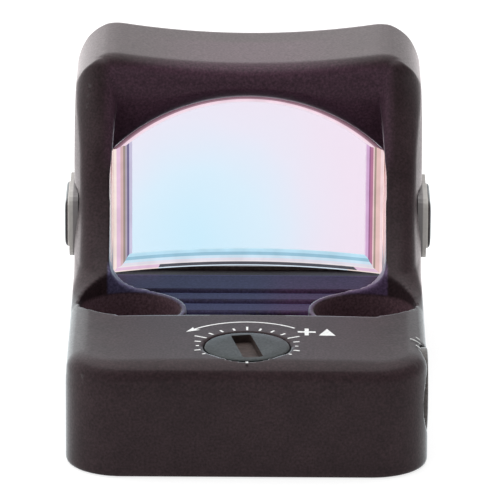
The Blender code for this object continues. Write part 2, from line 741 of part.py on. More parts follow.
def adjuster_oring(adj, face):
    height = face - sum(ORING_GROOVE) / 2
    profile = circle(ORING_R, height, ORING_SECTION_R, 6)
    return ring(adj.name + '_oring', profile, adj.axis, adj.u, adj.v, 18)


def adjuster_clip(adj, face):
    """Open retaining ring in the groove of the shaft."""
    inner, outer = CLIP_RADII
    lo, hi = face - CLIP_DEPTH - CLIP_HALF_T, face - CLIP_DEPTH + CLIP_HALF_T
    return ring(adj.name + '_retaining_clip', [(inner, lo), (outer, lo), (outer, hi), (inner, hi)],
                adj.axis, adj.u, adj.v, 16,
                adj.clip_gap + CLIP_HALF_GAP, adj.clip_gap + 2 * pi - CLIP_HALF_GAP)


def build_detent(adj, face):
    """Click ball, pushed against the head by its spring."""
    u, v = adj.u - DETENT_R, adj.v
    centre = face - HEAD_T - BALL_CLEARANCE - BALL_R
    angles = [pi * i / BALL_STEPS for i in range(1, BALL_STEPS)]
    profile = [(0.0, centre - BALL_R),
               *[(BALL_R * sin(a), centre - BALL_R * cos(a)) for a in angles],
               (0.0, centre + BALL_R)]
    finish(lathe(adj.name + '_detent_ball', profile, adj.axis, u, v, 14), BALL_LOOK,
           pivot=place(adj.axis, u, v, centre))
    finish(coil(adj.name + '_detent_spring', adj.axis, u, v, SPRING_R, SPRING_WIRE,
                lo=adj.detent_end + 0.05, hi=centre - BALL_R - 0.02, turns=3.0), SPRING_LOOK)


def build_adjuster(adj):
    face = adj.wall - FACE_SET_IN
    pivot = place(adj.axis, adj.u, adj.v, face)
    finish(adjuster_screw(adj, face), ADJUSTER_LOOK, pivot)
    finish(adjuster_oring(adj, face), ORING_LOOK, pivot)
    finish(adjuster_clip(adj, face), SPRING_LOOK, pivot)
    build_detent(adj, face)


# ---------------------------------------------------------------- emitter mechanism
SLIDE_ARM = ((-1.8, 1.8), (3.0, 8.2), (2.9, 4.3))
SLIDE_PLATE = ((-4.0, 4.0), (8.0, 8.6), (2.9, 7.0))
SLIDE_RAIL_LOW = ((-4.0, 4.0), (8.5, 10.2), (3.5, 4.1))
SLIDE_RAIL_HIGH = ((-4.0, 4.0), (8.5, 10.2), (6.6, 7.0))

NUT_HALF = 1.6
NUT_BODY = ((6.4, 8.4), (WINDAGE_Y - NUT_HALF, WINDAGE_Y + NUT_HALF),
            (WINDAGE_Z - NUT_HALF, WINDAGE_Z + NUT_HALF))
NUT_ARM = ((6.4, 7.0), (WINDAGE_Y + 1.0, 8.8), (4.1, 5.7))
NUT_BLADE = ((6.4, 7.0), (8.7, 10.4), (3.3, 7.05))

LED_Z = 5.75
CARRIAGE_PIVOT = (0.0, 9.6, LED_Z)
CARRIAGE_Z = (4.16, 6.54)
CARRIAGE_BODY = ((-3.0, 3.1), (8.66, 10.6), CARRIAGE_Z)
CARRIAGE_EAR = ((3.0, 8.0), (8.66, 11.3), CARRIAGE_Z)
EAR_SLOT = ((6.32, 7.08), (8.0, 10.48), (3.0, 8.0))
LED_SEAT = ((-0.75, 0.75), (10.2, 11.0), (LED_Z - 0.75, 7.0))
LED = ((-0.65, 0.65), (10.26, 10.95), (LED_Z - 0.65, LED_Z + 0.65))
MASK_PROFILE = ((0.10, 11.02), (0.72, 11.02), (0.72, 11.14), (0.10, 11.14))   # radius, y
BIAS_SPRING = dict(u=CARRIAGE_PIVOT[1], v=5.35, radius=0.8, wire=0.12,
                   lo=-8.15, hi=-3.05, turns=5.0, per_turn=9, n=4)


def build_elevation_slide():
    """Nut arm, and a plate with two rails for the carriage."""
    slide = joined_boxes('elevation_slide', SLIDE_ARM, SLIDE_PLATE, SLIDE_RAIL_LOW,
                         SLIDE_RAIL_HIGH)
    cut(slide, cylinder('nut_thread', 'z', 0.0, ELEVATION_Y, NUT_BORE_R, 2.0, 5.0))
    finish(slide, NUT_LOOK, pivot=(0.0, ELEVATION_Y, sum(SLIDE_ARM[2]) / 2))


def build_windage_nut():
    """Nut with a blade that drives the carriage."""
    nut = joined_boxes('windage_nut', NUT_BODY, NUT_ARM, NUT_BLADE)
    cut(nut, cylinder('nut_thread', 'x', WINDAGE_Y, WINDAGE_Z, NUT_BORE_R, 6.0, 9.0))
    finish(nut, NUT_LOOK, pivot=(sum(NUT_BODY[0]) / 2, WINDAGE_Y, WINDAGE_Z))


def build_carriage():
    """Emitter carriage between the rails; its ear straddles the blade."""
    carriage = joined_boxes('emitter_carriage', CARRIAGE_BODY, CARRIAGE_EAR)
    cut(carriage, box('ear_slot', *EAR_SLOT), box('led_seat', *LED_SEAT))
    finish(carriage, CARRIAGE_LOOK, CARRIAGE_PIVOT)
    finish(box('led_emitter', *LED), LED_LOOK, CARRIAGE_PIVOT)
    finish(ring('reticle_mask', MASK_PROFILE, 'y', 0.0, LED_Z, 20), SPRING_LOOK, CARRIAGE_PIVOT)
    finish(coil('carriage_bias_spring', 'x', **BIAS_SPRING), SPRING_LOOK)


# ---------------------------------------------------------------- buttons
BEZEL = dict(half_y=3.7, half_z=2.65, radius=1.2)
BEZEL_X = (13.6, 14.3)
BEZEL_OPENING = dict(half_y=3.15, half_z=2.1, radius=0.95)
CAP_RIM = dict(half_y=3.05, half_z=2.0, radius=0.85)
CAP_TOP = dict(half_y=2.55, half_z=1.5, radius=0.6)
CAP_LOOPS = ((13.4, CAP_RIM), (14.45, CAP_RIM), (14.75, CAP_TOP))   # x, outline
SWITCH = ((11.76, 12.7), (BUTTON_Y - 2.1, BUTTON_Y + 2.1), (BUTTON_Z - 1.6, BUTTON_Z + 1.6))
PLUNGER_R = 0.8
PLUNGER_X = (12.98, 13.3)
CAP_PIVOT_X = 13.9
PLUNGER_PIVOT_X = 13.0


def build_buttons():
    """Brightness button and switch of the right side, mirrored to the left."""
    bezel = prism('right_button_bezel', button_outline(**BEZEL), 'x', *BEZEL_X)
    cut(bezel, prism('opening', button_outline(**BEZEL_OPENING), 'x', 13.0, 15.0))
    cap = loft('right_button', [[(x, y, z) for y, z in button_outline(**outline)]
                                for x, outline in CAP_LOOPS])
    switch = box('right_switch_body', *SWITCH)
    plunger = cylinder('right_switch_plunger', 'x', BUTTON_Y, BUTTON_Z, PLUNGER_R, *PLUNGER_X, 16)
    # piece, look, and X of the pivot of a moving piece
    parts = ((bezel, BEZEL_LOOK, None), (cap, RUBBER_LOOK, CAP_PIVOT_X),
             (switch, SWITCH_LOOK, None), (plunger, PLUNGER_LOOK, PLUNGER_PIVOT_X))
    for piece, look, pivot_x in parts:
        twin = mirror_x(piece.name.replace('right', 'left'), piece)
        for side, part in ((1, piece), (-1, twin)):
            pivot = pivot_x and (side * pivot_x, BUTTON_Y, BUTTON_Z)
            finish(part, look, pivot)


# ---------------------------------------------------------------- electronics and power
BOARD_PLAN = dict(half_x=11.9, y_span=(1.9, 11.2), rear_r=2.6, front_r=0.4, seg=4)
BOARD_Z = (1.0, 1.5)
CHIP = ((-10.4, -7.0), (4.2, 7.6), (1.56, 2.35))
FLEX_X = (-2.4, -0.6)
FLEX_PROFILE = ((7.1, 1.58), (11.34, 1.58), (11.46, 1.70), (11.46, 4.3), (11.34, 4.3),
                (11.34, 1.78), (11.26, 1.70), (7.1, 1.70))
NEGATIVE_X = (2.4, 3.8)
NEGATIVE_PROFILE = ((9.6, 1.56), (20.75, 1.56), (20.75, 4.27), (32.4, 4.27), (32.4, 4.41),
                    (20.6, 4.41), (20.6, 1.70), (9.6, 1.70))
POSITIVE_X = (0.4, 1.8)
POSITIVE_PROFILE = ((9.6, 1.56), (20.94, 1.56), (20.94, 3.6), (20.80, 3.6), (20.80, 1.70),
                    (9.6, 1.70))
CELL_TOP = CELL_Z + CELL_T
# radius, height
CELL_PROFILE = ((0.0, CELL_Z), (8.9, CELL_Z), (9.0, CELL_Z + 0.15), (9.75, CELL_Z + 0.15),
                (CELL_R, CELL_Z + 0.4), (CELL_R, CELL_TOP - 0.2), (CELL_R - 0.2, CELL_TOP),
                (0.0, CELL_TOP))
INSULATOR_R = 9.6
INSULATOR_Z = (0.86, 0.90)


def build_electronics():
    finish(prism('main_circuit_board', plan(**BOARD_PLAN), 'z', *BOARD_Z), BOARD_LOOK)
    finish(box('microcontroller', *CHIP), CHIP_LOOK)
    finish(prism('emitter_flex_cable', FLEX_PROFILE, 'x', *FLEX_X), FLEX_LOOK)


def build_power():
    finish(lathe('coin_cell', CELL_PROFILE, 'z', 0.0, CELL_Y, 36), CELL_LOOK)
    finish(prism('battery_negative_contact', NEGATIVE_PROFILE, 'x', *NEGATIVE_X), CONTACT_LOOK)
    finish(prism('battery_positive_contact', POSITIVE_PROFILE, 'x', *POSITIVE_X), SPRING_LOOK)
    finish(cylinder('battery_insulator', 'z', 0.0, CELL_Y, INSULATOR_R, *INSULATOR_Z, 40),
           INSULATOR_LOOK)


# ---------------------------------------------------------------- underside
BASE_GAP = 0.1             # between the recess wall and the seal and plate
SEAL_Z = (0.56, 0.82)
PLATE_Z = (0.0, 0.5)
THROUGH_Z = (BELOW, 2.0)   # cutters that pass through seal or plate
SEAL_REAR_PLAN = dict(half_x=8.0, y_span=(2.6, 11.6), rear_r=1.0, front_r=1.0, seg=3)
SEAL_CELL_R = 10.2
BASE_MOUNT_R = MOUNT_HOLE_R + 0.05
SEAL_SCREW_R = 0.75
# radius, height
SINK_PROFILE = ((0.0, -0.2), (1.35, -0.2), (1.35, 0.02), (0.72, 0.40), (0.72, 1.0), (0.0, 1.0))
PLATE_SCREW_PROFILE = ((0.0, 0.04), (1.22, 0.04), (1.22, 0.08), (0.6, 0.44), (0.6, 2.5),
                       (0.45, 2.7), (0.0, 2.7))
DRIVE_HALF_L = 0.8
DRIVE_HALF_W = 0.13
DRIVE_Z = (-0.5, 0.16)


def cut_mount_holes(piece):
    for side in SIDES:
        cut(piece, cylinder('hole', 'z', side * POCKET_X, POCKET_Y, BASE_MOUNT_R, *THROUGH_Z))


def build_seal():
    seal = prism('base_seal', recess_plan(BASE_GAP), 'z', *SEAL_Z)
    cut(seal, prism('seal_rear', plan(**SEAL_REAR_PLAN), 'z', *THROUGH_Z))
    cut(seal, cylinder('seal_cell', 'z', 0.0, CELL_Y, SEAL_CELL_R, *THROUGH_Z, 40))
    cut_mount_holes(seal)
    for x, y in PLATE_SCREWS:
        cut(seal, cylinder('hole', 'z', x, y, SEAL_SCREW_R, *THROUGH_Z, 16))
    finish(seal, RUBBER_LOOK)


def build_base_plate():
    plate = prism('base_plate', recess_plan(BASE_GAP), 'z', *PLATE_Z)
    cut_mount_holes(plate)
    for x, y in PLATE_SCREWS:
        cut(plate, lathe('sink', SINK_PROFILE, 'z', x, y, 16))
    finish(plate, PLATE_LOOK)


def build_plate_screws():
    for number, (x, y) in enumerate(PLATE_SCREWS, start=1):
        screw = lathe('base_plate_screw_%d' % number, PLATE_SCREW_PROFILE, 'z', x, y, 16)
        cut(screw, box('drive', (x - DRIVE_HALF_L, x + DRIVE_HALF_L),
                       (y - DRIVE_HALF_W, y + DRIVE_HALF_W), DRIVE_Z))
        finish(screw, SCREW_LOOK)


build_housing()
build_optics()
for adjuster in ADJUSTERS:
    build_adjuster(adjuster)
build_elevation_slide()
build_windage_nut()
build_carriage()
build_buttons()
build_electronics()
build_power()
build_seal()
build_base_plate()
build_plate_screws()
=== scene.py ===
import bpy
import bmesh
import json
import numpy as np
from math import pi, sin, cos, asin, radians, sqrt, hypot
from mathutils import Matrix, Quaternion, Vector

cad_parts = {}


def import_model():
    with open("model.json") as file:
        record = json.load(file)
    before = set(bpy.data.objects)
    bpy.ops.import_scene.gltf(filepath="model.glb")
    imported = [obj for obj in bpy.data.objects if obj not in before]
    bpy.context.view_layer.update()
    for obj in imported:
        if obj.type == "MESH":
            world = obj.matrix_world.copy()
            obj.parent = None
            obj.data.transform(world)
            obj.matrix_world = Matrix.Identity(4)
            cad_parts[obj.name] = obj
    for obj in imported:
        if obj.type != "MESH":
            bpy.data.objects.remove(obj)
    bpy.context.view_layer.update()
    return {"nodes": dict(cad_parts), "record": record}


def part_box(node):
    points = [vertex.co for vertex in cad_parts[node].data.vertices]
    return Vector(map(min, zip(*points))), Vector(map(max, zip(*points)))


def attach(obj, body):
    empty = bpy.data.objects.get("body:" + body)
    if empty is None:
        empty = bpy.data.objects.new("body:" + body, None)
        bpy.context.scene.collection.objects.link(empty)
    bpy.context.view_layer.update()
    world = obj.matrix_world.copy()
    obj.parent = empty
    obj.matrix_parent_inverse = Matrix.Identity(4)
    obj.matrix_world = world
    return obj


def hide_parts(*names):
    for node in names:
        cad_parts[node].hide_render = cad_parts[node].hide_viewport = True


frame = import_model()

MM = 0.001
HOUSING_LO, HOUSING_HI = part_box("housing")
ORIGIN = ((HOUSING_LO.x + HOUSING_HI.x) / 2, HOUSING_LO.y, HOUSING_LO.z)
ROOT = next(body for body, nodes in frame["record"]["behaviour"]["bodies"].items()
            if "housing" in nodes)
COLLECTION = bpy.context.scene.collection

# ------------------------------------------------------------------ main dimensions
HALF_WIDTH = (HOUSING_HI.x - HOUSING_LO.x) / 2 / MM
LENGTH = (HOUSING_HI.y - HOUSING_LO.y) / MM
GRID_STEP = 0.17

DECK_Z, DECK_END = 9.1, 12.4            # top and front end of the low rear deck
DECK_SAG, DECK_SAG_X = 0.12, 10.5       # the deck falls by DECK_SAG at this X
TOP_Z, TOP_BOW_X = 24.0, 11.2           # hood top at its middle, 1 mm higher at TOP_BOW_X
OPEN_X, SPRING_Z, APEX_Z = 11.0, 16.44, 21.04   # window: half width, arch foot, arch top
# trough floor: Y where a step begins, its Z
STEPS = ((DECK_END, 4.8), (25.2, 5.0), (27.6, 5.15), (29.8, 5.3))
LIP_Y, LIP_FALL = 37.9, 0.34            # the floor falls forwards of LIP_Y at this slope

POCKET_X, POCKET_Y, POCKET_FLOOR = 9.4, 16.55, 3.2    # mounting screw pockets
POCKET_WALL_R = 4.15 + 0.45             # pocket radius and wall thickness
POCKET_WALL_Z = 8.4
ELEVATION_BORE_Y = 4.8
WINDAGE_BORE_Y, WINDAGE_BORE_Z = 6.2, 5.1
BUTTON_SEAT_Y, BUTTON_SEAT_Z = 30.0, 11.6
UNDERSIDE_RIM = 1.3


# ------------------------------------------------------------------ places and meshes
def world(x, y, z):
    """Point in metres in the scene."""
    return Vector([start + value * MM for start, value in zip(ORIGIN, (x, y, z))])


def to_mm(point):
    return tuple((value - start) / MM for value, start in zip(point, ORIGIN))


def box_mm(node):
    """Lower corner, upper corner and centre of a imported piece."""
    low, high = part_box(node)
    centre = [(first + last) / 2 for first, last in zip(low, high)]
    return to_mm(low), to_mm(high), to_mm(centre)


def link_object(name, mesh):
    piece = bpy.data.objects.new(name, mesh)
    COLLECTION.objects.link(piece)
    return piece


def mesh_object(name, verts, faces, materials, slots=None, smooth=True, sharp=None):
    """Closed piece with outward normals; slots holds a material number for each face."""
    mesh = bpy.data.meshes.new(name)
    points = np.asarray(verts, dtype=np.float64) * MM + np.array(ORIGIN)
    mesh.from_pydata(points.tolist(), [], [tuple(int(i) for i in face) for face in faces])
    for material in materials:
        mesh.materials.append(material)
    if slots is not None:
        mesh.polygons.foreach_set("material_index", np.asarray(slots, dtype=np.int32))
    if smooth:
        mesh.shade_smooth()
    if sharp is not None:
        mesh.set_sharp_from_angle(angle=radians(sharp))
    mesh.validate()
    piece = link_object(name, mesh)
    work = bmesh.new()
    work.from_mesh(mesh)
    bmesh.ops.recalc_face_normals(work, faces=work.faces)
    work.to_mesh(mesh)
    work.free()
    return piece


def band_faces(first, second, count):
    """Quads between two closed rings of count points, given by their first points."""
    return [(first + i, first + (i + 1) % count, second + (i + 1) % count, second + i)
            for i in range(count)]


def prism_faces(count, base=0):
    """Faces of a prism: count points of the bottom, then count points of the top."""
    ends = [tuple(base + i for i in range(count)),
            tuple(base + 2 * count - 1 - i for i in range(count))]
    return ends + band_faces(base, base + count, count)


def rounded_loop(centre_u, centre_v, half_u, half_v, radius, steps=8):
    """Rectangle with round corners, each corner in steps pieces."""
    points = []
    for side_u, side_v, start in ((1, 1, 0.0), (-1, 1, pi / 2), (-1, -1, pi), (1, -1, 3 * pi / 2)):
        for k in range(steps + 1):
            angle = start + (pi / 2) * k / steps
            points.append((centre_u + side_u * (half_u - radius) + radius * cos(angle),
                           centre_v + side_v * (half_v - radius) + radius * sin(angle)))
    return points


# ------------------------------------------------------------------ shader graphs
def rgb(red, green, blue):
    return (red, green, blue, 1.0)


def grey(value):
    return (value, value, value, 1.0)


def display(red, green, blue):
    """Linear colour of a display colour given in 0-255 steps."""
    return tuple(((c / 255.0 + 0.055) / 1.055) ** 2.4 for c in (red, green, blue))


class Graph:
    """A shader tree, emptied and then filled through short calls."""

    def __init__(self, tree):
        self.tree = tree
        tree.nodes.clear()

    def node(self, kind, sockets=None, **settings):
        """New node. A socket takes a value, a socket or a node (its first output)."""
        new = self.tree.nodes.new("ShaderNode" + kind)
        for key, value in settings.items():
            setattr(new, key, value)
        for key, value in (sockets or {}).items():
            if isinstance(value, bpy.types.Node):
                value = value.outputs[0]
            if isinstance(value, bpy.types.NodeSocket):
                self.tree.links.new(value, new.inputs[key])
            else:
                new.inputs[key].default_value = value
        return new

    def coords(self):
        return self.node("TexCoord").outputs["Object"]

    def noise(self, coords, scale, detail=2.0, roughness=0.5):
        return self.node("TexNoise", {"Vector": coords, "Scale": scale, "Detail": detail,
                                      "Roughness": roughness})

    def ramp(self, factor, *stops):
        """Colour ramp through stops of (position, colour)."""
        new = self.node("ValToRGB", {"Fac": factor})
        elements = new.color_ramp.elements
        while len(elements) > 1:
            elements.remove(elements[0])
        elements[0].position, elements[0].color = stops[0]
        for position, colour in stops[1:]:
            elements.new(position).color = colour
        return new

    def map_range(self, value, low, high, to=(0.0, 1.0), **settings):
        return self.node("MapRange", {"Value": value, "From Min": low, "From Max": high,
                                      "To Min": to[0], "To Max": to[1]}, **settings)

    def math(self, operation, *values, **settings):
        return self.node("Math", dict(enumerate(values)), operation=operation, **settings)

    def mix(self, factor, first, second, **settings):
        new = self.node("Mix", data_type="RGBA", **settings)
        self.connect(new, {"Factor": factor, "A": first, "B": second})
        return new.outputs["Result"]

    def connect(self, target, sockets):
        """Feeds colour sockets, which are found by name once the node's type is set."""
        for key, value in sockets.items():
            if isinstance(value, bpy.types.Node):
                value = value.outputs[0]
            if isinstance(value, bpy.types.NodeSocket):
                self.tree.links.new(value, target.inputs[key])
            else:
                target.inputs[key].default_value = value

    def mix_shader(self, factor, first, second):
        return self.node("MixShader", {"Fac": factor, 1: first, 2: second})

    def finish(self, shader, kind="OutputMaterial"):
        self.node(kind, {"Surface": shader})


def new_material(name):
    material = bpy.data.materials.new(name)
    material.use_nodes = True
    return material, Graph(material.node_tree)


def edge_wear_and_highlight(graph, coords, colour, edge_colour, start, full):
    """Patches of edge_colour on convex edges, by pointiness from start to full: wear on the base
    plate, a painted highlight on the anodised finishes.
    """
    pointiness = graph.node("NewGeometry").outputs["Pointiness"]
    edges = graph.ramp(pointiness, (start, grey(0.0)), (full, grey(1.0)))
    patches = graph.ramp(graph.noise(coords, scale=2500.0, detail=6.0),
                         (0.45, grey(0.0)), (0.70, grey(1.0)))
    return graph.mix(graph.math("MULTIPLY", edges, patches), colour, edge_colour)


# ------------------------------------------------------------------ plain finishes
CORE_X, CORE_BLEND = 14.02, 0.04        # where the core tone ends, half width of the change


def core_toned(graph, colour, core):
    """Gives the part nearer the centre plane than CORE_X the tone core."""
    split = graph.node("SeparateXYZ", {"Vector": graph.node("NewGeometry").outputs["Position"]})
    offset = graph.math("SUBTRACT", split.outputs["X"], ORIGIN[0])
    outer = graph.map_range(graph.math("ABSOLUTE", offset),
                            (CORE_X - CORE_BLEND) * MM, (CORE_X + CORE_BLEND) * MM)
    return graph.mix(outer, core, colour)


def plain_finish(name, dark, light, rough, grain=9000.0, bump=0.12, metal=0.0, spec=0.5,
                 mottle=700.0, coat=0.0, edge_colour=None, depth=0.00002, core=None):
    """Fine-grained finish: mottle and grain are noise scales, depth is in metres."""
    material, graph = new_material(name)
    coords = graph.coords()
    colour = graph.ramp(graph.noise(coords, scale=mottle, detail=5.0, roughness=0.6),
                        (0.32, dark), (0.68, light))
    if edge_colour is not None:
        colour = edge_wear_and_highlight(graph, coords, colour, edge_colour, start=0.50, full=0.62)
    if core is not None:
        colour = core_toned(graph, colour, core)
    grains = graph.noise(coords, scale=grain, detail=3.0)
    graph.finish(graph.node("BsdfPrincipled", {
        "Base Color": colour,
        "Roughness": graph.ramp(grains, (0.30, grey(rough - 0.06)), (0.70, grey(rough + 0.06))),
        "Normal": graph.node("Bump", {"Strength": bump, "Distance": depth, "Height": grains}),
        "Metallic": metal,
        "Specular IOR Level": spec,
        "Coat Weight": coat}))
    return material


# ------------------------------------------------------------------ anodised finish
# Places on the housing where light is painted into the colour: lower corner, upper corner,
# softness of the border, tint
PAINTED_LIGHT_PLACES = (
    # painted reflection of the blue glass on the trough floor, painted light in the shaded pockets
    # and on the downward-facing arch, painted highlight along the pocket rims
    ((-10.9, 12.6, 4.0), (10.9, 34.0, 6.2), 0.25, rgb(0.037, 0.030, 0.080)),   # trough floor
    ((2.0, 12.6, 4.0), (10.9, 34.0, 6.2), 1.6, rgb(0.066, 0.025, 0.076)),      # its right part
    ((-13.6, 12.3, 3.0), (-4.9, 20.8, 8.0), 0.2, rgb(0.120, 0.070, 0.085)),    # left pocket
    ((4.9, 12.3, 3.0), (13.6, 20.8, 8.0), 0.2, rgb(0.110, 0.062, 0.075)),      # right pocket
    ((-11.4, 26.5, 16.4), (11.4, 37.0, 24.2), 0.5, rgb(0.056, 0.026, 0.041)),  # arch
    ((-11.1, 13.4, 8.1), (-4.4, 22.6, 10.4), 0.14, rgb(0.085, 0.075, 0.150)),  # left rim
    ((4.4, 13.4, 8.1), (11.1, 22.6, 10.4), 0.14, rgb(0.100, 0.062, 0.130)),    # right rim
)
GLOSS_TINT = rgb(0.84, 0.90, 0.92)
# Places with a painted reflection colour: lower corner, upper corner, softness of the border,
# tint; the glass's blue in the trough, a warmer hood, over-bright window walls
PAINTED_REFLECTION_PLACES = (
    ((-10.95, 12.45, 3.0), (10.95, 34.0, 7.0), 0.15, rgb(0.30, 0.30, 0.62)),   # trough
    ((-15.5, 19.0, 7.0), (15.5, 46.0, 26.0), 1.2, rgb(0.90, 0.85, 0.86)),      # hood
    ((-11.12, 24.0, 7.8), (11.12, 37.0, 16.6), 0.10, rgb(1.5, 1.25, 1.12)),    # window walls
)


def place_mask(graph, coords, low, high, soft):
    """1 inside a box of the housing, 0 outside, with soft walls."""
    split = graph.node("SeparateXYZ", {"Vector": coords})
    start, end = world(*low), world(*high)
    mask = None
    for axis, first, last in zip("XYZ", start, end):
        for edge, to in ((first, (0.0, 1.0)), (last, (1.0, 0.0))):
            wall = graph.map_range(split.outputs[axis], edge - soft * MM, edge + soft * MM, to,
                                   interpolation_type="SMOOTHSTEP")
            mask = wall if mask is None else graph.math("MULTIPLY", mask, wall)
    return mask


def anodised(name, dark, light, rough, edge_gain=1.0, places=False):
    """Matt finish, dull when faced square on and bright towards grazing."""
    material, graph = new_material(name)
    coords = graph.coords()
    grain = graph.noise(coords, scale=7000.0, detail=3.0)
    speckle = graph.noise(coords, scale=5200.0, detail=2.0)
    bump = graph.node("Bump", {"Strength": 0.30, "Distance": 0.00002, "Height": speckle})

    colour = graph.ramp(graph.noise(coords, scale=420.0, detail=5.0, roughness=0.6),
                        (0.32, dark), (0.68, light))
    if places:
        # painted light: each place takes its tint in place of the finish's colour
        for low, high, soft, tint in PAINTED_LIGHT_PLACES:
            colour = graph.mix(place_mask(graph, coords, low, high, soft), colour, tint)
    specks = graph.ramp(speckle, (0.28, grey(0.62)), (0.50, grey(0.97)), (0.72, grey(1.42)))
    colour = graph.mix(1.0, colour, specks, blend_type="MULTIPLY")
    # painted highlight: lighter patches on the convex edges stand for the light the edges catch
    colour = edge_wear_and_highlight(graph, coords, colour, rgb(0.060, 0.050, 0.052), start=0.515, full=0.60)
    dull = graph.node("BsdfPrincipled", {"Base Color": colour, "Normal": bump,
                                         "Specular IOR Level": 0.16, "Roughness": 0.5})

    gloss = GLOSS_TINT
    if places:
        # painted reflection: the glossy layer takes each place's tint
        for low, high, soft, tint in PAINTED_REFLECTION_PLACES:
            gloss = graph.mix(place_mask(graph, coords, low, high, soft), gloss, tint)
    else:
        gloss = graph.mix(0.0, gloss, PAINTED_REFLECTION_PLACES[0][3])
    specks = graph.ramp(speckle, (0.28, grey(0.78)), (0.50, grey(0.96)), (0.72, grey(1.12)))
    shiny = graph.node("BsdfGlossy", {
        "Color": graph.mix(1.0, gloss, specks, blend_type="MULTIPLY"),
        "Roughness": graph.ramp(grain, (0.30, grey(rough - 0.05)), (0.70, grey(rough + 0.05))),
        "Normal": bump})

    # the glossy layer gains weight as a power of the grazing angle
    facing = graph.node("LayerWeight", {"Blend": 0.5}).outputs["Facing"]
    grazing = graph.math("POWER", facing, 6.3)
    weight = graph.math("MULTIPLY", grazing, edge_gain, use_clamp=True)
    graph.finish(graph.mix_shader(weight, dull, shiny))
    return material


BODY_MAT = anodised("body_anodised", dark=rgb(0.0225, 0.0120, 0.0145),
                    light=rgb(0.0320, 0.0178, 0.0210), rough=0.38, places=True)
CAP_MAT = anodised("button_finish", dark=rgb(0.016, 0.012, 0.014),
                   light=rgb(0.024, 0.018, 0.020), rough=0.34)
HEAD_MAT = anodised("adjuster_anodised", dark=rgb(0.021, 0.026, 0.027),
                    light=rgb(0.030, 0.037, 0.038), rough=0.36, edge_gain=0.95)
WORN_MAT = anodised("adjuster_worn_rim", dark=rgb(0.090, 0.083, 0.080),
                    light=rgb(0.130, 0.120, 0.114), rough=0.40)

FINISHES = {
    # bezel and cap flank: their pale and mid greys, with the bezel's darker core, are painted
    # highlight for the bright sides of the buttons seen edge on
    "bezel_painted_highlight": dict(dark=rgb(0.46, 0.44, 0.42), light=rgb(0.54, 0.515, 0.49), rough=0.38,
                        bump=0.05, spec=0.4, mottle=1500.0, core=rgb(0.20, 0.185, 0.188)),
    "cap_flank_painted_highlight": dict(dark=rgb(0.20, 0.185, 0.185), light=rgb(0.26, 0.24, 0.24),
                            rough=0.42, bump=0.05, spec=0.3, mottle=1500.0),
    "slot_worn": dict(dark=rgb(0.030, 0.020, 0.018), light=rgb(0.075, 0.052, 0.046), rough=0.5,
                      grain=6000.0, bump=0.3, metal=0.35, mottle=1800.0),
    "marking_paint": dict(dark=rgb(0.62, 0.63, 0.63), light=rgb(0.84, 0.85, 0.84), rough=0.55,
                          grain=14000.0, bump=0.2, mottle=5000.0),
    "seal_rubber": dict(dark=grey(0.012), light=grey(0.020), rough=0.75, grain=6000.0, bump=0.3),
    "plain_steel": dict(dark=rgb(0.48, 0.48, 0.49), light=rgb(0.60, 0.60, 0.61), rough=0.28,
                        grain=12000.0, bump=0.1, metal=1.0, mottle=1500.0),
    "plate_phosphate": dict(dark=rgb(0.030, 0.030, 0.032), light=rgb(0.050, 0.049, 0.050),
                            rough=0.5, grain=7000.0, bump=0.25, metal=0.4, mottle=900.0,
                            edge_colour=grey(0.10)),
    "machined_brass": dict(dark=rgb(0.60, 0.44, 0.19), light=rgb(0.74, 0.57, 0.28), rough=0.3,
                           grain=10000.0, metal=1.0, mottle=1500.0),
    "solder_mask": dict(dark=rgb(0.010, 0.085, 0.035), light=rgb(0.016, 0.125, 0.050),
                        rough=0.35, bump=0.15, mottle=2500.0, coat=0.3),
    "moulded_black": dict(dark=grey(0.012), light=grey(0.022), rough=0.5, grain=12000.0,
                          bump=0.2),
    "moulded_red": dict(dark=rgb(0.34, 0.030, 0.022), light=rgb(0.46, 0.050, 0.035), rough=0.45,
                        bump=0.15),
    "flex_film": dict(dark=rgb(0.36, 0.15, 0.025), light=rgb(0.50, 0.24, 0.050), rough=0.32,
                      grain=8000.0, bump=0.1, mottle=1500.0, coat=0.4),
    "insulator_film": dict(dark=rgb(0.55, 0.47, 0.27), light=rgb(0.68, 0.60, 0.38), rough=0.5,
                           grain=8000.0, bump=0.1),
    "led_resin": dict(dark=rgb(0.70, 0.62, 0.44), light=rgb(0.85, 0.78, 0.60), rough=0.3,
                      bump=0.08, coat=0.4),
    "glue_bead": dict(dark=rgb(0.055, 0.036, 0.030), light=rgb(0.150, 0.105, 0.085), rough=0.35,
                      grain=5000.0, bump=0.5, mottle=3500.0, coat=0.3, depth=0.00006),
}
MATERIALS = {name: plain_finish(name, **settings) for name, settings in FINISHES.items()}


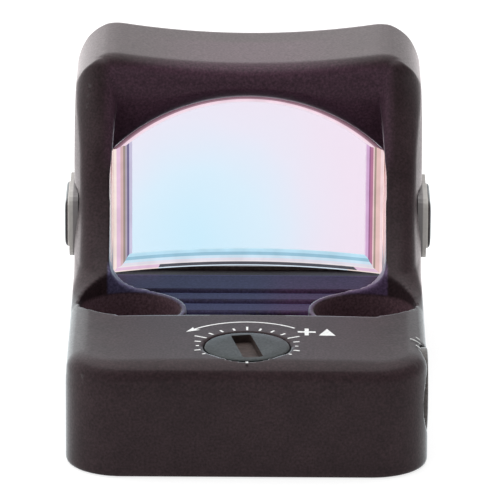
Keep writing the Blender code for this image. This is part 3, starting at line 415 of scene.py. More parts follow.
# ------------------------------------------------------------------ glass materials
def mirror_glass(name):
    """Coated glass: seen through, pale blue low on the left to pink at the top and right. The blue
    is the coating's own tint; the shift to pink is partly its colour and partly painted
    reflection.
    """
    reach_x, reach_z = 0.0150, 0.0165   # metres from the bluest point to the end of the ramp
    pink_from, pink_to = 0.0035, 0.0105     # metres along X
    material, graph = new_material(name)
    coords = graph.coords()
    bluest = world(-4.2, 35.0, 7.2)
    mapped = graph.node("Mapping", {
        "Location": (-bluest.x / reach_x, 0.0, -bluest.z / reach_z),
        "Scale": (1 / reach_x, 0.0, 1 / reach_z),
        "Vector": coords})
    distance = graph.node("VectorMath", {0: mapped}, operation="LENGTH").outputs["Value"]
    cloud = graph.noise(coords, scale=160.0, detail=1.0)
    tint = graph.ramp(graph.math("MULTIPLY_ADD", cloud, 0.22, distance),
                      (0.10, rgb(0.485, 0.690, 0.800)), (0.50, rgb(0.570, 0.696, 0.790)),
                      (0.80, rgb(0.672, 0.660, 0.752)), (1.0, rgb(0.700, 0.640, 0.730)))
    across = graph.node("SeparateXYZ", {"Vector": coords}).outputs["X"]
    # partly painted reflection: the tint turns pink towards the right
    tint = graph.mix(graph.map_range(across, pink_from, pink_to), tint, rgb(0.722, 0.622, 0.724))
    graph.finish(graph.mix_shader(
        graph.node("Fresnel", {"IOR": 1.5}),
        graph.node("BsdfTransparent", {"Color": tint}),
        graph.node("BsdfGlossy", {"Roughness": 0.02, "Color": rgb(0.95, 0.72, 0.85)})))
    return material


def front_glass(name):
    """Front face of the glass: clear from behind, red and amber gleam from the front."""
    material, graph = new_material(name)
    gleam = graph.ramp(graph.noise(graph.coords(), scale=90.0),
                       (0.35, rgb(0.95, 0.22, 0.20)), (0.65, rgb(0.95, 0.45, 0.30)))
    facing = graph.node("LayerWeight", {"Blend": 0.35}).outputs["Facing"]
    strength = graph.math("MULTIPLY_ADD", facing, 0.5, 0.30)
    in_front = graph.math("SUBTRACT", 1.0, graph.node("NewGeometry").outputs["Backfacing"])
    graph.finish(graph.mix_shader(
        graph.math("MULTIPLY", strength, in_front),
        graph.node("BsdfTransparent"),
        graph.node("BsdfGlossy", {"Roughness": 0.02, "Color": gleam})))
    return material


def rim_glass(name, shade, clear=0.0):
    """Ground or bevelled band: it glows evenly in its display colour, with a thin gloss. The glow
    is painted light, standing for what the band reflects and bends.
    clear is the share that lets light through."""
    tint = display(*shade)
    material, graph = new_material(name)
    streaks = graph.ramp(graph.noise(graph.coords(), scale=700.0, detail=4.0),
                         (0.3, rgb(*[c * 0.90 for c in tint])),
                         (0.7, rgb(*[min(c * 1.06, 1.0) for c in tint])))
    glow = graph.mix_shader(clear, graph.node("Emission", {"Color": streaks}),
                            graph.node("BsdfTransparent", {"Color": streaks}))
    gloss = graph.node("BsdfGlossy", {"Roughness": 0.12})
    graph.finish(graph.mix_shader(0.03, glow, gloss))
    return material


# ------------------------------------------------------------------ distance fields
# A field is negative inside its shape. The fields below are sampled on one grid; arrays
# that vary along one axis only are kept thin and spread when they meet.
def grid_axes():
    count = int(14.6 / GRID_STEP) + 1
    x = np.arange(-count, count + 1) * GRID_STEP
    y = np.arange(-0.6, LENGTH + 0.6 + GRID_STEP, GRID_STEP)
    z = np.arange(-0.6, 25.8 + GRID_STEP, GRID_STEP)
    return [axis.astype(np.float32) for axis in (x, y, z)]


AXES = grid_axes()
X = AXES[0][:, None, None]
Y = AXES[1][None, :, None]
Z = AXES[2][None, None, :]
ABS_X = np.abs(X)


def smooth_max(first, second, radius):
    return (np.minimum(-radius, np.maximum(first, second))
            + np.sqrt(np.maximum(first + radius, 0) ** 2 + np.maximum(second + radius, 0) ** 2))


def smooth_min(first, second, radius):
    return -smooth_max(-first, -second, radius)


def fade(values, start, span):
    """Rises from 0 at start to 1 after span."""
    return np.clip((values - start) / span, 0, 1)


def rounded_rect(offset_u, offset_v, half_u, half_v, radius):
    """Field of a rectangle with round corners, from unsigned offsets to its centre."""
    u = offset_u - (half_u - radius)
    v = offset_v - (half_v - radius)
    corner = np.sqrt(np.maximum(u, 0) ** 2 + np.maximum(v, 0) ** 2)
    return corner + np.minimum(np.maximum(u, v), 0) - radius


def slab(field, low, high, along):
    """The part of a field between two levels of the coordinate along."""
    return np.maximum(field, np.maximum(low - along, along - high))


def box_field(x0, x1, y0, y1, z0, z1):
    return slab(slab(np.maximum(x0 - X, X - x1), y0, y1, Y), z0, z1, Z)


def arc_centre(start, end, turn):
    """Centre and radius of an arc through two points, on the left of the way between them."""
    first, last = Vector(start), Vector(end)
    chord = last - first
    radius = chord.length / (2 * sin(turn / 2))
    side = Vector((-chord.y, chord.x)).normalized()
    centre = (first + last) / 2 + side * (radius * cos(turn / 2))
    return centre.x, centre.y, radius


def surface_nets(field, origin, step):
    """Closed quad mesh of the zero level of a sampled field."""
    solid = field < 0
    corners = [(a, b, c) for a in (0, 1) for b in (0, 1) for c in (0, 1)]
    halves = (slice(0, -1), slice(1, None))
    filled = np.zeros([size - 1 for size in field.shape], np.uint8)
    for a, b, c in corners:
        filled += solid[halves[a], halves[b], halves[c]]
    active = (filled > 0) & (filled < 8)
    number = np.full(filled.shape, -1, np.int32)
    i, j, k = np.nonzero(active)
    number[i, j, k] = np.arange(len(i), dtype=np.int32)

    # a cell's point is the mean of the crossings on its edges
    points = np.zeros((len(i), 3))
    crossings = np.zeros(len(i))
    value = {c: field[i + c[0], j + c[1], k + c[2]].astype(np.float64) for c in corners}
    for corner in corners:
        for axis in range(3):
            if corner[axis]:
                continue
            other = list(corner)
            other[axis] = 1
            near, far = value[corner], value[tuple(other)]
            crossed = (near < 0) != (far < 0)
            share = near[crossed] / (near[crossed] - far[crossed])
            place = np.tile(np.array(corner, float), (crossed.sum(), 1))
            place[:, axis] += share
            points[crossed] += place
            crossings[crossed] += 1
    points = points / crossings[:, None] + np.stack([i, j, k], 1)
    points = points * step + np.array(origin)

    # every crossed grid edge gets a quad through the four cells round it
    quads = []
    for axis in range(3):
        low = [slice(1, -1)] * 3
        high = [slice(1, -1)] * 3
        low[axis], high[axis] = halves
        edge = list(np.nonzero(solid[tuple(low)] != solid[tuple(high)]))
        u, v = (axis + 1) % 3, (axis + 2) % 3
        edge[u] = edge[u] + 1
        edge[v] = edge[v] + 1
        inside = solid[tuple(edge)]
        around = []
        for back_u, back_v in ((1, 1), (0, 1), (0, 0), (1, 0)):
            cell = list(edge)
            cell[u] = cell[u] - back_u
            cell[v] = cell[v] - back_v
            around.append(number[tuple(cell)])
        quad = np.stack(around, 1)
        quad[~inside] = quad[~inside][:, ::-1]
        quads.append(quad)
    return points, np.concatenate(quads)


def quad_object(name, points, quads, material):
    """Smooth object from large arrays of points and quads."""
    mesh = bpy.data.meshes.new(name)
    mesh.vertices.add(len(points))
    mesh.loops.add(len(quads) * 4)
    mesh.polygons.add(len(quads))
    placed = points * MM + np.array(ORIGIN)
    mesh.vertices.foreach_set("co", placed.astype(np.float32).ravel())
    mesh.loops.foreach_set("vertex_index", quads.astype(np.int32).ravel())
    mesh.polygons.foreach_set("loop_start", np.arange(0, len(quads) * 4, 4, dtype=np.int32))
    mesh.materials.append(material)
    mesh.update(calc_edges=True)
    mesh.validate()
    mesh.shade_smooth()
    return link_object(name, mesh)


# ------------------------------------------------------------------ housing
def outer_body():
    """Low block with the hood on its front part."""
    # hood: bowed top, concave rear arc from the deck to the top, leaning front
    top = TOP_Z + (np.minimum(ABS_X, 11.5) / TOP_BOW_X) ** 2
    top_slope = np.sqrt(1 + (2 * X / TOP_BOW_X ** 2) ** 2)
    arc_y, arc_z, arc_radius = arc_centre((19.2, DECK_Z), (29.3, 24.4), radians(46.0))
    arc = arc_radius - np.sqrt((Y - arc_y) ** 2 + (Z - arc_z) ** 2)
    front = ((Y - LENGTH) * 20 + (Z - 6.5) * 4.4) / 20.48
    hood = smooth_max((Z - top) / top_slope, arc, 1.1)
    hood = smooth_max(hood, front, 1.5)
    hood = np.maximum(hood, 17.2 - Y)
    block = Z - (DECK_Z - DECK_SAG * (X / DECK_SAG_X) ** 2)
    body = smooth_min(block, hood, 0.9)

    # sides: outline in plan, drawn in at the top, at the waist and along the rear arc
    corner = np.where(Y < LENGTH / 2, 4.4, 3.6)
    plan = rounded_rect(ABS_X, np.abs(Y - LENGTH / 2), HALF_WIDTH, LENGTH / 2, corner)
    waist = 0.12 * fade(Z, 6.5, 2.0) * (1 - fade(Z, 12.0, 4.0))
    side = plan + 0.42 * fade(Z, 19.0, 6.0) ** 2 + waist
    near_arc = np.clip(1 + arc / 3.5, 0, 1) ** 1.25
    side = side + 0.84 * near_arc * fade(Z, 8.6, 1.2) * np.clip((23.4 - Z) / 4.0, 0, 1)

    # the edge radius grows towards the top of the hood
    up = fade(Z, 16.5, 6.5)
    edge = 1.35 - 0.22 * fade(Z, 10.0, 2.5) + 2.3 * up * up * (3 - 2 * up)
    body = smooth_max(body, side, edge)
    return smooth_max(body, -Z, 0.22)


def window_cut():
    """Arched window opening with the stepped trough, less the walls round the pockets."""
    rise = APEX_Z - SPRING_Z
    radius = (OPEN_X ** 2 + rise ** 2) / (2 * rise)
    arch = np.sqrt(X ** 2 + (Z - (APEX_Z - radius)) ** 2) - radius
    opening = smooth_max(ABS_X - OPEN_X, arch, 0.3)

    floor_z = np.full_like(Y, STEPS[0][1])
    for (step_y, step_z), (_, last_z) in zip(STEPS[1:], STEPS):
        floor_z = np.where(Y > step_y, step_z, floor_z)
        groove = (Y > step_y - 0.42) & (Y <= step_y)
        floor_z = np.where(groove, last_z - 0.25, floor_z)
    floor_z = np.where(Y > LIP_Y, STEPS[-1][1] - LIP_FALL * (Y - LIP_Y), floor_z)
    cut = np.maximum(opening, np.maximum(floor_z - Z, DECK_END - Y))

    ring = np.sqrt((ABS_X - POCKET_X) ** 2 + (Y - POCKET_Y) ** 2) - POCKET_WALL_R
    wall = smooth_min(ring, OPEN_X - ABS_X, 2.4)
    wall = np.minimum(wall, np.maximum(POCKET_X - 2.0 - ABS_X, Y - POCKET_Y))
    # the wall dips towards the middle and sweeps up into the side
    dip = 0.27 * np.clip((9.3 - ABS_X) / 2.3, 0, 1)
    sweep = 2.3 * (1 - np.sqrt(1 - np.clip((ABS_X - 8.7) / 2.3, 0, 0.995) ** 2))
    wall = np.maximum(wall, Z - (POCKET_WALL_Z - dip + sweep))
    return np.maximum(cut, -wall)


def brow_cut():
    """Hollow above the glass, under a sloping rear limit."""
    width = ABS_X - (OPEN_X - 0.096 * np.maximum(Z - SPRING_Z, 0))
    slope = ((Y - 29.2) + (Z - 23.6) * 0.353) / 1.0605
    return np.maximum(np.maximum(width, slope), SPRING_Z - 2.0 - Z)


def rear_cavity(elevation, windage):
    """Hollow of the rear block with bosses round the two bores, guides and a spring seat."""
    half, rear, front, depth = 12.5, 1.3, 11.6, 10.3
    cavity = box_field(-half, half, rear, front, -1.0, 7.7)
    chamfer = ((ABS_X + (front - Y)) - (half + depth) + 2.2) / sqrt(2.0)
    cavity = np.maximum(cavity, chamfer)
    kept = (
        np.maximum(elevation - 3.0, 6.1 - Z),
        np.maximum(windage - 3.0, 10.9 - X),
        box_field(-4.9, -4.1, 7.0, 8.6, 2.6, 9.0),
        box_field(4.1, 4.9, 7.0, 8.6, 2.6, 9.0),
        box_field(-9.2, -8.2, 8.8, 13.0, 4.2, 9.0),
    )
    for solid in kept:
        cavity = np.maximum(cavity, -solid)
    return cavity


def carvings():
    """Pockets, seats and bores one by one: field of the hollow, radius of its edge."""
    # pockets and through holes of the mounting screws
    pocket = np.sqrt((ABS_X - 9.25) ** 2 + (Y - POCKET_Y) ** 2)
    yield np.maximum(pocket - 4.02, POCKET_FLOOR - Z), 0.14
    yield np.sqrt((ABS_X - POCKET_X) ** 2 + (Y - POCKET_Y) ** 2) - 1.9, 0.1
    # seat of the glass
    yield slab(np.maximum(ABS_X - OPEN_X, np.abs(Y - 35.95) - 2.35), 5.0, 7.0, Z), 0.05
    # shallow recess in the underside
    recess = rounded_rect(ABS_X, np.abs(Y - LENGTH / 2), HALF_WIDTH - UNDERSIDE_RIM,
                          LENGTH / 2 - UNDERSIDE_RIM, 2.8)
    yield np.maximum(recess, Z - 0.9), 0.08
    elevation = np.sqrt(X ** 2 + (Y - ELEVATION_BORE_Y) ** 2)
    windage = np.sqrt((Y - WINDAGE_BORE_Y) ** 2 + (Z - WINDAGE_BORE_Z) ** 2)
    yield rear_cavity(elevation, windage), 0.08
    # coin cell well with the two channels beside and behind it
    cell_y = box_mm("coin_cell")[2][1]
    yield slab(np.sqrt(X ** 2 + (Y - cell_y) ** 2) - 10.45, -1.0, 4.22, Z), 0.06
    yield box_field(0.1, 4.1, cell_y - 11.2, cell_y + 1.5, 0.5, 4.52), 0.05
    yield box_field(0.1, 4.1, 11.0, cell_y - 10.7, -0.5, 1.9), 0.05
    # adjuster bores: wide for the head, narrow for the shank
    yield slab(elevation - 3.4, DECK_Z - 1.2, 11.0, Z), 0.07
    yield slab(elevation - 1.6, 5.5, 9.0, Z), 0.05
    yield slab(windage - 3.4, HALF_WIDTH - 1.2, 16.0, X), 0.07
    yield slab(windage - 1.6, 10.5, 14.5, X), 0.05
    # pane seat and light way
    yield box_field(-2.0, 2.0, 12.0, 12.8, 4.9, 7.4), 0.05
    yield box_field(-1.4, 1.4, 11.0, 12.3, 5.15, 7.1), 0.05
    # button seats, wide outside and narrow inside: half Y, half Z, corner, inner X
    for half_y, half_z, corner, inner_x in ((3.8, 2.75, 1.3, 13.5), (3.2, 2.15, 0.9, 11.7)):
        seat = rounded_rect(np.abs(Y - BUTTON_SEAT_Y), np.abs(Z - BUTTON_SEAT_Z),
                            half_y, half_z, corner)
        yield np.maximum(seat, inner_x - ABS_X), 0.1


def build_housing():
    body = smooth_max(outer_body(), -window_cut(), 0.2)
    body = smooth_max(body, -brow_cut(), 0.2 + 2.0 * fade(Z, SPRING_Z, 6.0))
    for hollow, edge in carvings():
        body = smooth_max(body, -hollow, edge)
    points, quads = surface_nets(body, [axis[0] for axis in AXES], GRID_STEP)
    return quad_object("housing_shell", points, quads, BODY_MAT)


housing = build_housing()
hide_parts("housing")
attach(housing, ROOT)

# ------------------------------------------------------------------ glass
# The glass is drawn upright, h counted from its foot, then leaned to the rear.
GLASS_TILT = radians(6.8)
GLASS_Y, GLASS_Z = 34.6, 5.28           # rear edge of its foot
GLASS_HALF_X, GLASS_SIDE, GLASS_MIDDLE = 10.97, 10.75, 15.20    # heights at side and middle
GLASS_THICK = 2.56
EDGE_BEVEL = 0.25
MIRROR_R, MIRROR_H = 44.0, 8.0          # radius of the rear face, height of its centre
FOOT_BOW = 0.05
FOOT_STEPS, SIDE_STEPS, ARCH_STEPS = 24, 14, 56
CORNER_X = 7.9      # foot points beyond this X take shades of the left side

# Bands from the edge inwards: inset where the band ends, its display colour, shown as a painted
# glow for the light the bevelled edges reflect and bend
BANDS = {
    "foot": ((0.13, (222, 236, 250)), (0.42, (84, 84, 92)), (0.57, (238, 230, 234)),
             (0.78, (228, 224, 236)), (1.01, (208, 232, 248)), (1.28, (156, 198, 220)),
             (1.52, (190, 228, 247)), (1.58, (204, 236, 250))),
    "right": ((0.23, (246, 218, 222)), (0.57, (231, 194, 191)), (0.73, (168, 150, 140)),
              (0.83, (240, 208, 210)), (1.03, (184, 124, 154)), (1.15, (162, 106, 148)),
              (1.38, (216, 176, 216)), (1.46, (236, 214, 236))),
    "top": ((0.08, (106, 78, 90)), (0.17, (136, 102, 116)), (0.24, (163, 129, 143)),
            (0.34, (246, 216, 231)), (0.45, (250, 224, 238)), (0.48, (244, 226, 237)),
            (0.50, (240, 226, 236)), (0.52, (239, 226, 238))),
    "left": ((0.10, (235, 215, 208)), (0.30, (250, 232, 226)), (0.62, (230, 196, 222)),
             (0.84, (214, 181, 183)), (1.00, (160, 144, 137)), (1.15, (182, 170, 186)),
             (1.32, (120, 110, 147)), (1.56, (204, 198, 224))),
}
FOOT, RIGHT, TOP, LEFT = range(4)       # the order of BANDS and of the outline
BAND_COUNT = len(BANDS["foot"])


def lens_outline(foot=0.0, right=0.0, top=0.0, left=0.0):
    """Outline of the glass as (x, h), inset by its own amount on each side."""
    rise = GLASS_MIDDLE - GLASS_SIDE
    radius = (GLASS_HALF_X * GLASS_HALF_X + rise * rise) / (2 * rise)
    centre_h, arch_r = GLASS_MIDDLE - radius, radius - top
    left_x, right_x = -GLASS_HALF_X + left, GLASS_HALF_X - right

    def foot_h(x):
        return foot + FOOT_BOW * (1 - (x / GLASS_HALF_X) ** 2)

    def arch_h(x):
        return centre_h + sqrt(arch_r * arch_r - x * x)

    points = []
    for i in range(FOOT_STEPS):
        x = left_x + (right_x - left_x) * i / FOOT_STEPS
        points.append((x, foot_h(x)))
    low, high = foot_h(right_x), arch_h(right_x)
    points += [(right_x, low + (high - low) * i / SIDE_STEPS) for i in range(SIDE_STEPS)]
    start, end = asin(right_x / arch_r), asin(left_x / arch_r)
    for i in range(ARCH_STEPS):
        angle = start + (end - start) * i / ARCH_STEPS
        points.append((arch_r * sin(angle), centre_h + arch_r * cos(angle)))
    low, high = foot_h(left_x), arch_h(left_x)
    points += [(left_x, high - (high - low) * i / SIDE_STEPS) for i in range(SIDE_STEPS)]
    return points


def drawn_in(outline, keep):
    """Outline scaled towards the centre of the mirror."""
    return [(x * keep, MIRROR_H + (h - MIRROR_H) * keep) for x, h in outline]


def sag(x, h):
    """Depth of the hollow rear face."""
    rim = MIRROR_R - sqrt(MIRROR_R ** 2 - GLASS_HALF_X ** 2)
    return rim - (MIRROR_R - sqrt(MIRROR_R ** 2 - (x * x + (h - MIRROR_H) ** 2)))


def front_depth(x, h):
    return GLASS_THICK + 0.5 * sag(x, h)


def build_glass():
    glass_mats = [mirror_glass("coated_glass"), front_glass("front_glass")]
    rim_mats = [rim_glass("rim_%s_%d" % (side, k), shade)
                for side, bands in BANDS.items() for k, (_, shade) in enumerate(bands)]
    # the edge too is a painted glow, mostly clear
    edge_mat = rim_glass("glass_edge", (226, 232, 240), clear=0.85)
    clear_slot = len(rim_mats)
    front_slot, edge_slot = clear_slot + 1, clear_slot + 2

    side_of = ([FOOT] * FOOT_STEPS + [RIGHT] * SIDE_STEPS + [TOP] * ARCH_STEPS
               + [LEFT] * SIDE_STEPS)
    count = len(side_of)
    verts, faces, slots = [], [], []

    def ring(outline, depth):
        verts.extend([(x, depth(x, h), h) for x, h in outline])
        return len(verts) - count

    def strip(first, second, strip_slots, flip=False):
        for face in band_faces(first, second, count):
            faces.append(face[::-1] if flip else face)
        slots.extend(strip_slots)

    def band_slot(i, band, x):
        if side_of[i] == FOOT and band in (0, 1) and abs(x) > CORNER_X:
            return LEFT * BAND_COUNT + 1 + band
        return side_of[i] * BAND_COUNT + band

    def fill(start, outline, shrinks, depth, slot, flip=False):
        """Closes a face with ever smaller rings and a fan at the centre."""
        for shrink in shrinks:
            smaller = ring(drawn_in(outline, 1 - shrink), depth)
            strip(start, smaller, [slot] * count, flip)
            start = smaller
        verts.append((0.0, depth(0.0, MIRROR_H), MIRROR_H))
        centre = len(verts) - 1
        for i in range(count):
            near, far = start + i, start + (i + 1) % count
            faces.append((far, near, centre) if flip else (near, far, centre))
            slots.append(slot)

    # rear face: the bands, bevelled over the outer three rings, then the clear field
    rear_edge = last = ring(lens_outline(), lambda x, h: sag(x, h) + 0.30)
    for band in range(BAND_COUNT):
        inner = lens_outline(*[bands[band][0] for bands in BANDS.values()])
        bevel = 0.30 * max(0.0, 1.0 - (band + 1) / 3.0)
        current = ring(inner, lambda x, h: sag(x, h) + bevel)
        strip(last, current,
              [band_slot(i, band, x) for i, (x, _) in enumerate(inner)])
        last = current
    fill(last, inner, (0.08, 0.25, 0.45, 0.65, 0.85), sag, clear_slot)

    # edge, its front bevel and the front face
    edge_slots = [edge_slot] * count
    rim = ring(lens_outline(), lambda x, h: front_depth(x, h) - EDGE_BEVEL)
    strip(rear_edge, rim, edge_slots, True)
    inner = lens_outline(*[EDGE_BEVEL] * 4)
    face_rim = ring(inner, front_depth)
    strip(rim, face_rim, edge_slots, True)
    fill(face_rim, inner, (0.15, 0.4, 0.65, 0.85), front_depth, front_slot, True)

    cos_tilt, sin_tilt = cos(GLASS_TILT), sin(GLASS_TILT)
    leaned = [(x, GLASS_Y + y * cos_tilt - h * sin_tilt, GLASS_Z + y * sin_tilt + h * cos_tilt)
              for x, y, h in verts]
    return mesh_object("reflector_glass", leaned, faces, rim_mats + glass_mats + [edge_mat],
                       slots, sharp=20)


glass = build_glass()
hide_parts("lens_rear_element", "lens_front_element")
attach(glass, ROOT)

# ------------------------------------------------------------------ adjusters
HEAD_R = 3.30
SECTORS = 96
# Profile of head and shank: radius, depth below the face
ADJUSTER_PROFILE = (
    (0.0, 0.0), (2.2, 0.0), (3.12, 0.0), (3.20, 0.02), (3.27, 0.07), (HEAD_R, 0.16),
    (HEAD_R, 1.1), (1.45, 1.1), (1.45, 1.75), (1.0, 1.75), (1.0, 2.35), (1.45, 2.35),
    (1.45, 3.2), (1.1, 3.2), (1.1, 3.55), (1.45, 3.55), (1.45, 3.8), (0.9, 3.8),
)
THREAD_START, THREAD_PITCH, THREAD_R, THREAD_ROOT_R = 3.9, 0.2, 0.90, 0.78
SLOT_HALF_WIDTH, SLOT_HALF_LENGTH, SLOT_CORNER, SLOT_DEPTH = 0.78, 2.62, 0.18, 0.62


def along_axis(axis, u, v, w):
    """Point with w along the axis z or x, and u, v across it."""
    return (u, v, w) if axis == "z" else (w, u, v)


def revolve(profile, axis, centre_u, centre_v):
    """Turned piece; the first and last radius are zero."""
    verts, faces, rows = [], [], []
    for radius, w in profile:
        size = 1 if radius < 1e-9 else SECTORS
        rows.append((len(verts), size))
        for i in range(size):
            angle = 2 * pi * i / SECTORS
            verts.append(along_axis(axis, centre_u + radius * cos(angle),
                                    centre_v + radius * sin(angle), w))
    for (first, first_size), (second, second_size) in zip(rows, rows[1:]):
        for a, b, c, d in band_faces(first, second, SECTORS):
            if first_size == 1:
                faces.append((first, d, c))
            elif second_size == 1:
                faces.append((a, b, second))
            else:
                faces.append((a, b, c, d))
    return verts, faces


def cut_with(piece, tool):
    """Takes the tool's shape out of the piece and removes the tool."""
    modifier = piece.modifiers.new("cut", "BOOLEAN")
    modifier.operation = "DIFFERENCE"
    modifier.solver = "EXACT"
    modifier.object = tool
    depsgraph = bpy.context.evaluated_depsgraph_get()
    depsgraph.update()
    mesh = bpy.data.meshes.new_from_object(piece.evaluated_get(depsgraph))
    piece.modifiers.clear()
    piece.data = mesh
    bpy.data.objects.remove(tool, do_unlink=True)


def adjuster_profile(face, reach):
    """Points of radius and place along the axis, down to reach below the face."""
    profile = [(radius, face - depth) for radius, depth in ADJUSTER_PROFILE]
    w = face - THREAD_START
    while w > face - reach + 0.35:
        profile += [(THREAD_R, w), (THREAD_ROOT_R, w - 0.1)]
        w -= THREAD_PITCH
    return profile + [(THREAD_R, face - reach + 0.2), (0.7, face - reach), (0.0, face - reach)]


def adjuster(name, axis, centre_u, centre_v, face, angle, reach):
    """Slotted screw with its face at face along the axis; angle turns the slot."""
    verts, faces = revolve(adjuster_profile(face, reach), axis, centre_u, centre_v)
    piece = mesh_object(name, verts, faces, [])

    turn_cos, turn_sin = cos(angle), sin(angle)
    loop = rounded_loop(0.0, 0.0, SLOT_HALF_WIDTH, SLOT_HALF_LENGTH, SLOT_CORNER, steps=4)
    loop = [(centre_u + u * turn_cos - v * turn_sin, centre_v + u * turn_sin + v * turn_cos)
            for u, v in loop]
    tool_verts = [along_axis(axis, u, v, w)
                  for w in (face - SLOT_DEPTH, face + 1.0) for u, v in loop]
    cut_with(piece, mesh_object(name + "_tool", tool_verts, prism_faces(len(loop)), [],
                                smooth=False))

    # material slots start afresh on the cut mesh
    mesh = piece.data
    mesh.materials.clear()
    for material in (HEAD_MAT, MATERIALS["slot_worn"], WORN_MAT):
        mesh.materials.append(material)
    for polygon in mesh.polygons:
        place = to_mm(polygon.center)
        u, v, w = place if axis == "z" else (place[1], place[2], place[0])
        u, v = u - centre_u, v - centre_v
        across, along = u * turn_cos + v * turn_sin, -u * turn_sin + v * turn_cos
        in_slot = (abs(across) < SLOT_HALF_WIDTH + 0.01 and abs(along) < SLOT_HALF_LENGTH + 0.01
                   and face - 0.65 < w < face - 0.01)
        polygon.material_index = 1 if in_slot else 0
        if axis == "x" and hypot(u, v) > 3.22 and w > face - 1.3:
            polygon.material_index = 2
    mesh.shade_smooth()
    mesh.set_sharp_from_angle(angle=radians(32))
    return piece


_, elevation_high, (ELEVATION_X, ELEVATION_Y, _) = box_mm("elevation_screw")
_, windage_high, (_, windage_y, windage_z) = box_mm("windage_screw")
elevation_screw = adjuster("elevation_adjuster", "z", ELEVATION_X, ELEVATION_Y,
                           face=elevation_high[2], angle=radians(10.8), reach=7.1)
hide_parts("elevation_screw")
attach(elevation_screw, "elevation_screw_body")
windage_screw = adjuster("windage_adjuster", "x", windage_y, windage_z,
                         face=windage_high[0], angle=0.4, reach=8.7)
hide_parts("windage_screw")
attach(windage_screw, "windage_screw_body")

# ------------------------------------------------------------------ deck markings
PAINT_SINK = 0.05                       # how far the paint reaches into the deck
DECK_PAINT_LIFT, TICK_PAINT_LIFT = 0.014, 0.016
LINE_HALF = 0.085
# Scale ticks round the elevation head, in head radii: inner and outer end by degrees
TICK_ENDS = {90: (1.12, 1.36), 30: (1.10, 1.42), 150: (1.10, 1.42),
             -30: (1.12, 1.20), 0: (1.12, 1.20), 180: (1.12, 1.20), 210: (1.12, 1.20)}
COMMON_TICK = (1.12, 1.27)
ARROW_R = 1.71 * HEAD_R
ARROW_START, ARROW_END, ARROW_PIECES = 49, 139, 6       # degrees of the arrow's shaft
ARROW_TIP, ARROW_BASE, ARROW_HALF = 145.5, 134, 0.42
# Index lines over the right edge: x, y of the start, x, y of the end
EDGE_TICKS = ((12.62, 7.2, 13.42, 6.68), (13.07, 7.80, 13.42, 7.54), (13.05, 5.92, 13.40, 5.54))
EDGE_TICK_HALF, EDGE_TICK_STEPS = 0.05, 5
DECK_EDGE_X, DECK_EDGE_R = 12.65, 1.35  # where the side edge of the deck starts to round


def deck_height(x):
    return DECK_Z - DECK_SAG * (x / DECK_SAG_X) ** 2


def edge_height(x):
    """Height of the deck over its rounded side edge."""
    if x < DECK_EDGE_X:
        return deck_height(x)
    drop = sqrt(DECK_EDGE_R ** 2 - (x - DECK_EDGE_X) ** 2)
    return deck_height(DECK_EDGE_X) - DECK_EDGE_R + drop


def round_head(radius, angle):
    """Deck point at a radius and angle about the elevation head."""
    return ELEVATION_X + radius * cos(angle), ELEVATION_Y + radius * sin(angle)


def bar(angle, inner, outer, half):
    """Radial bar about the elevation head."""
    along_x, along_y = cos(angle), sin(angle)
    return [(ELEVATION_X + r * along_x - q * along_y, ELEVATION_Y + r * along_y + q * along_x)
            for r, q in ((inner, -half), (outer, -half), (outer, half), (inner, half))]


def arc_ribbon(start, end, steps=10):
    """Ribbon along the arrow's arc, as one outline."""
    angles = [start + (end - start) * i / steps for i in range(steps + 1)]
    return ([round_head(ARROW_R + LINE_HALF, a) for a in angles]
            + [round_head(ARROW_R - LINE_HALF, a) for a in angles[::-1]])


def arrow_head():
    tip_x, tip_y = round_head(ARROW_R * 1.02, radians(ARROW_TIP))
    base_x, base_y = round_head(ARROW_R, radians(ARROW_BASE))
    ahead = Vector((tip_x - base_x, tip_y - base_y)).normalized()
    side = Vector((-ahead.y, ahead.x))
    return [(tip_x, tip_y),
            (base_x + side.x * ARROW_HALF, base_y + side.y * ARROW_HALF),
            (base_x + ahead.x * 0.25, base_y + ahead.y * 0.25),
            (base_x - side.x * ARROW_HALF, base_y - side.y * ARROW_HALF)]


def plus_sign():
    """Cross of three bars that don't overlap."""
    x, y = ELEVATION_X + 4.62, ELEVATION_Y + 3.40
    half, arm, stem = 0.16, 0.70, 0.80
    gap = 0.001
    bars = ((arm, -half, half), (half, half + gap, stem), (half, -stem, -half - gap))
    return [[(x - wide, y + low), (x + wide, y + low), (x + wide, y + high), (x - wide, y + high)]
            for wide, low, high in bars]


def deck_shapes():
    shapes = []
    for degrees in range(-30, 211, 15):
        inner, outer = TICK_ENDS.get(degrees, COMMON_TICK)
        shapes.append(bar(radians(degrees), inner * HEAD_R, outer * HEAD_R, LINE_HALF))
    shapes.append(bar(radians(-90), 1.14 * HEAD_R, 1.20 * HEAD_R, 0.10))
    sweep = ARROW_END - ARROW_START
    for i in range(ARROW_PIECES):
        shapes.append(arc_ribbon(radians(ARROW_START + sweep * i / ARROW_PIECES),
                                 radians(ARROW_START + sweep * (i + 1) / ARROW_PIECES)))
    shapes.append(arrow_head())
    # plus sign and triangle: turning this way raises the point of aim
    shapes += plus_sign()
    shapes.append([(ELEVATION_X + x, ELEVATION_Y + y)
                   for x, y in ((5.55, 2.62), (6.85, 2.62), (6.20, 4.20))])
    return shapes


def deck_markings():
    """Thin paint filled shapes, each a closed sliver on the deck."""
    verts, faces = [], []
    for shape in deck_shapes():
        faces += prism_faces(len(shape), len(verts))
        for lift in (-PAINT_SINK, DECK_PAINT_LIFT):
            verts += [(x, y, deck_height(x) + lift) for x, y in shape]
    return mesh_object("deck_markings", verts, faces, [MATERIALS["marking_paint"]], smooth=False)


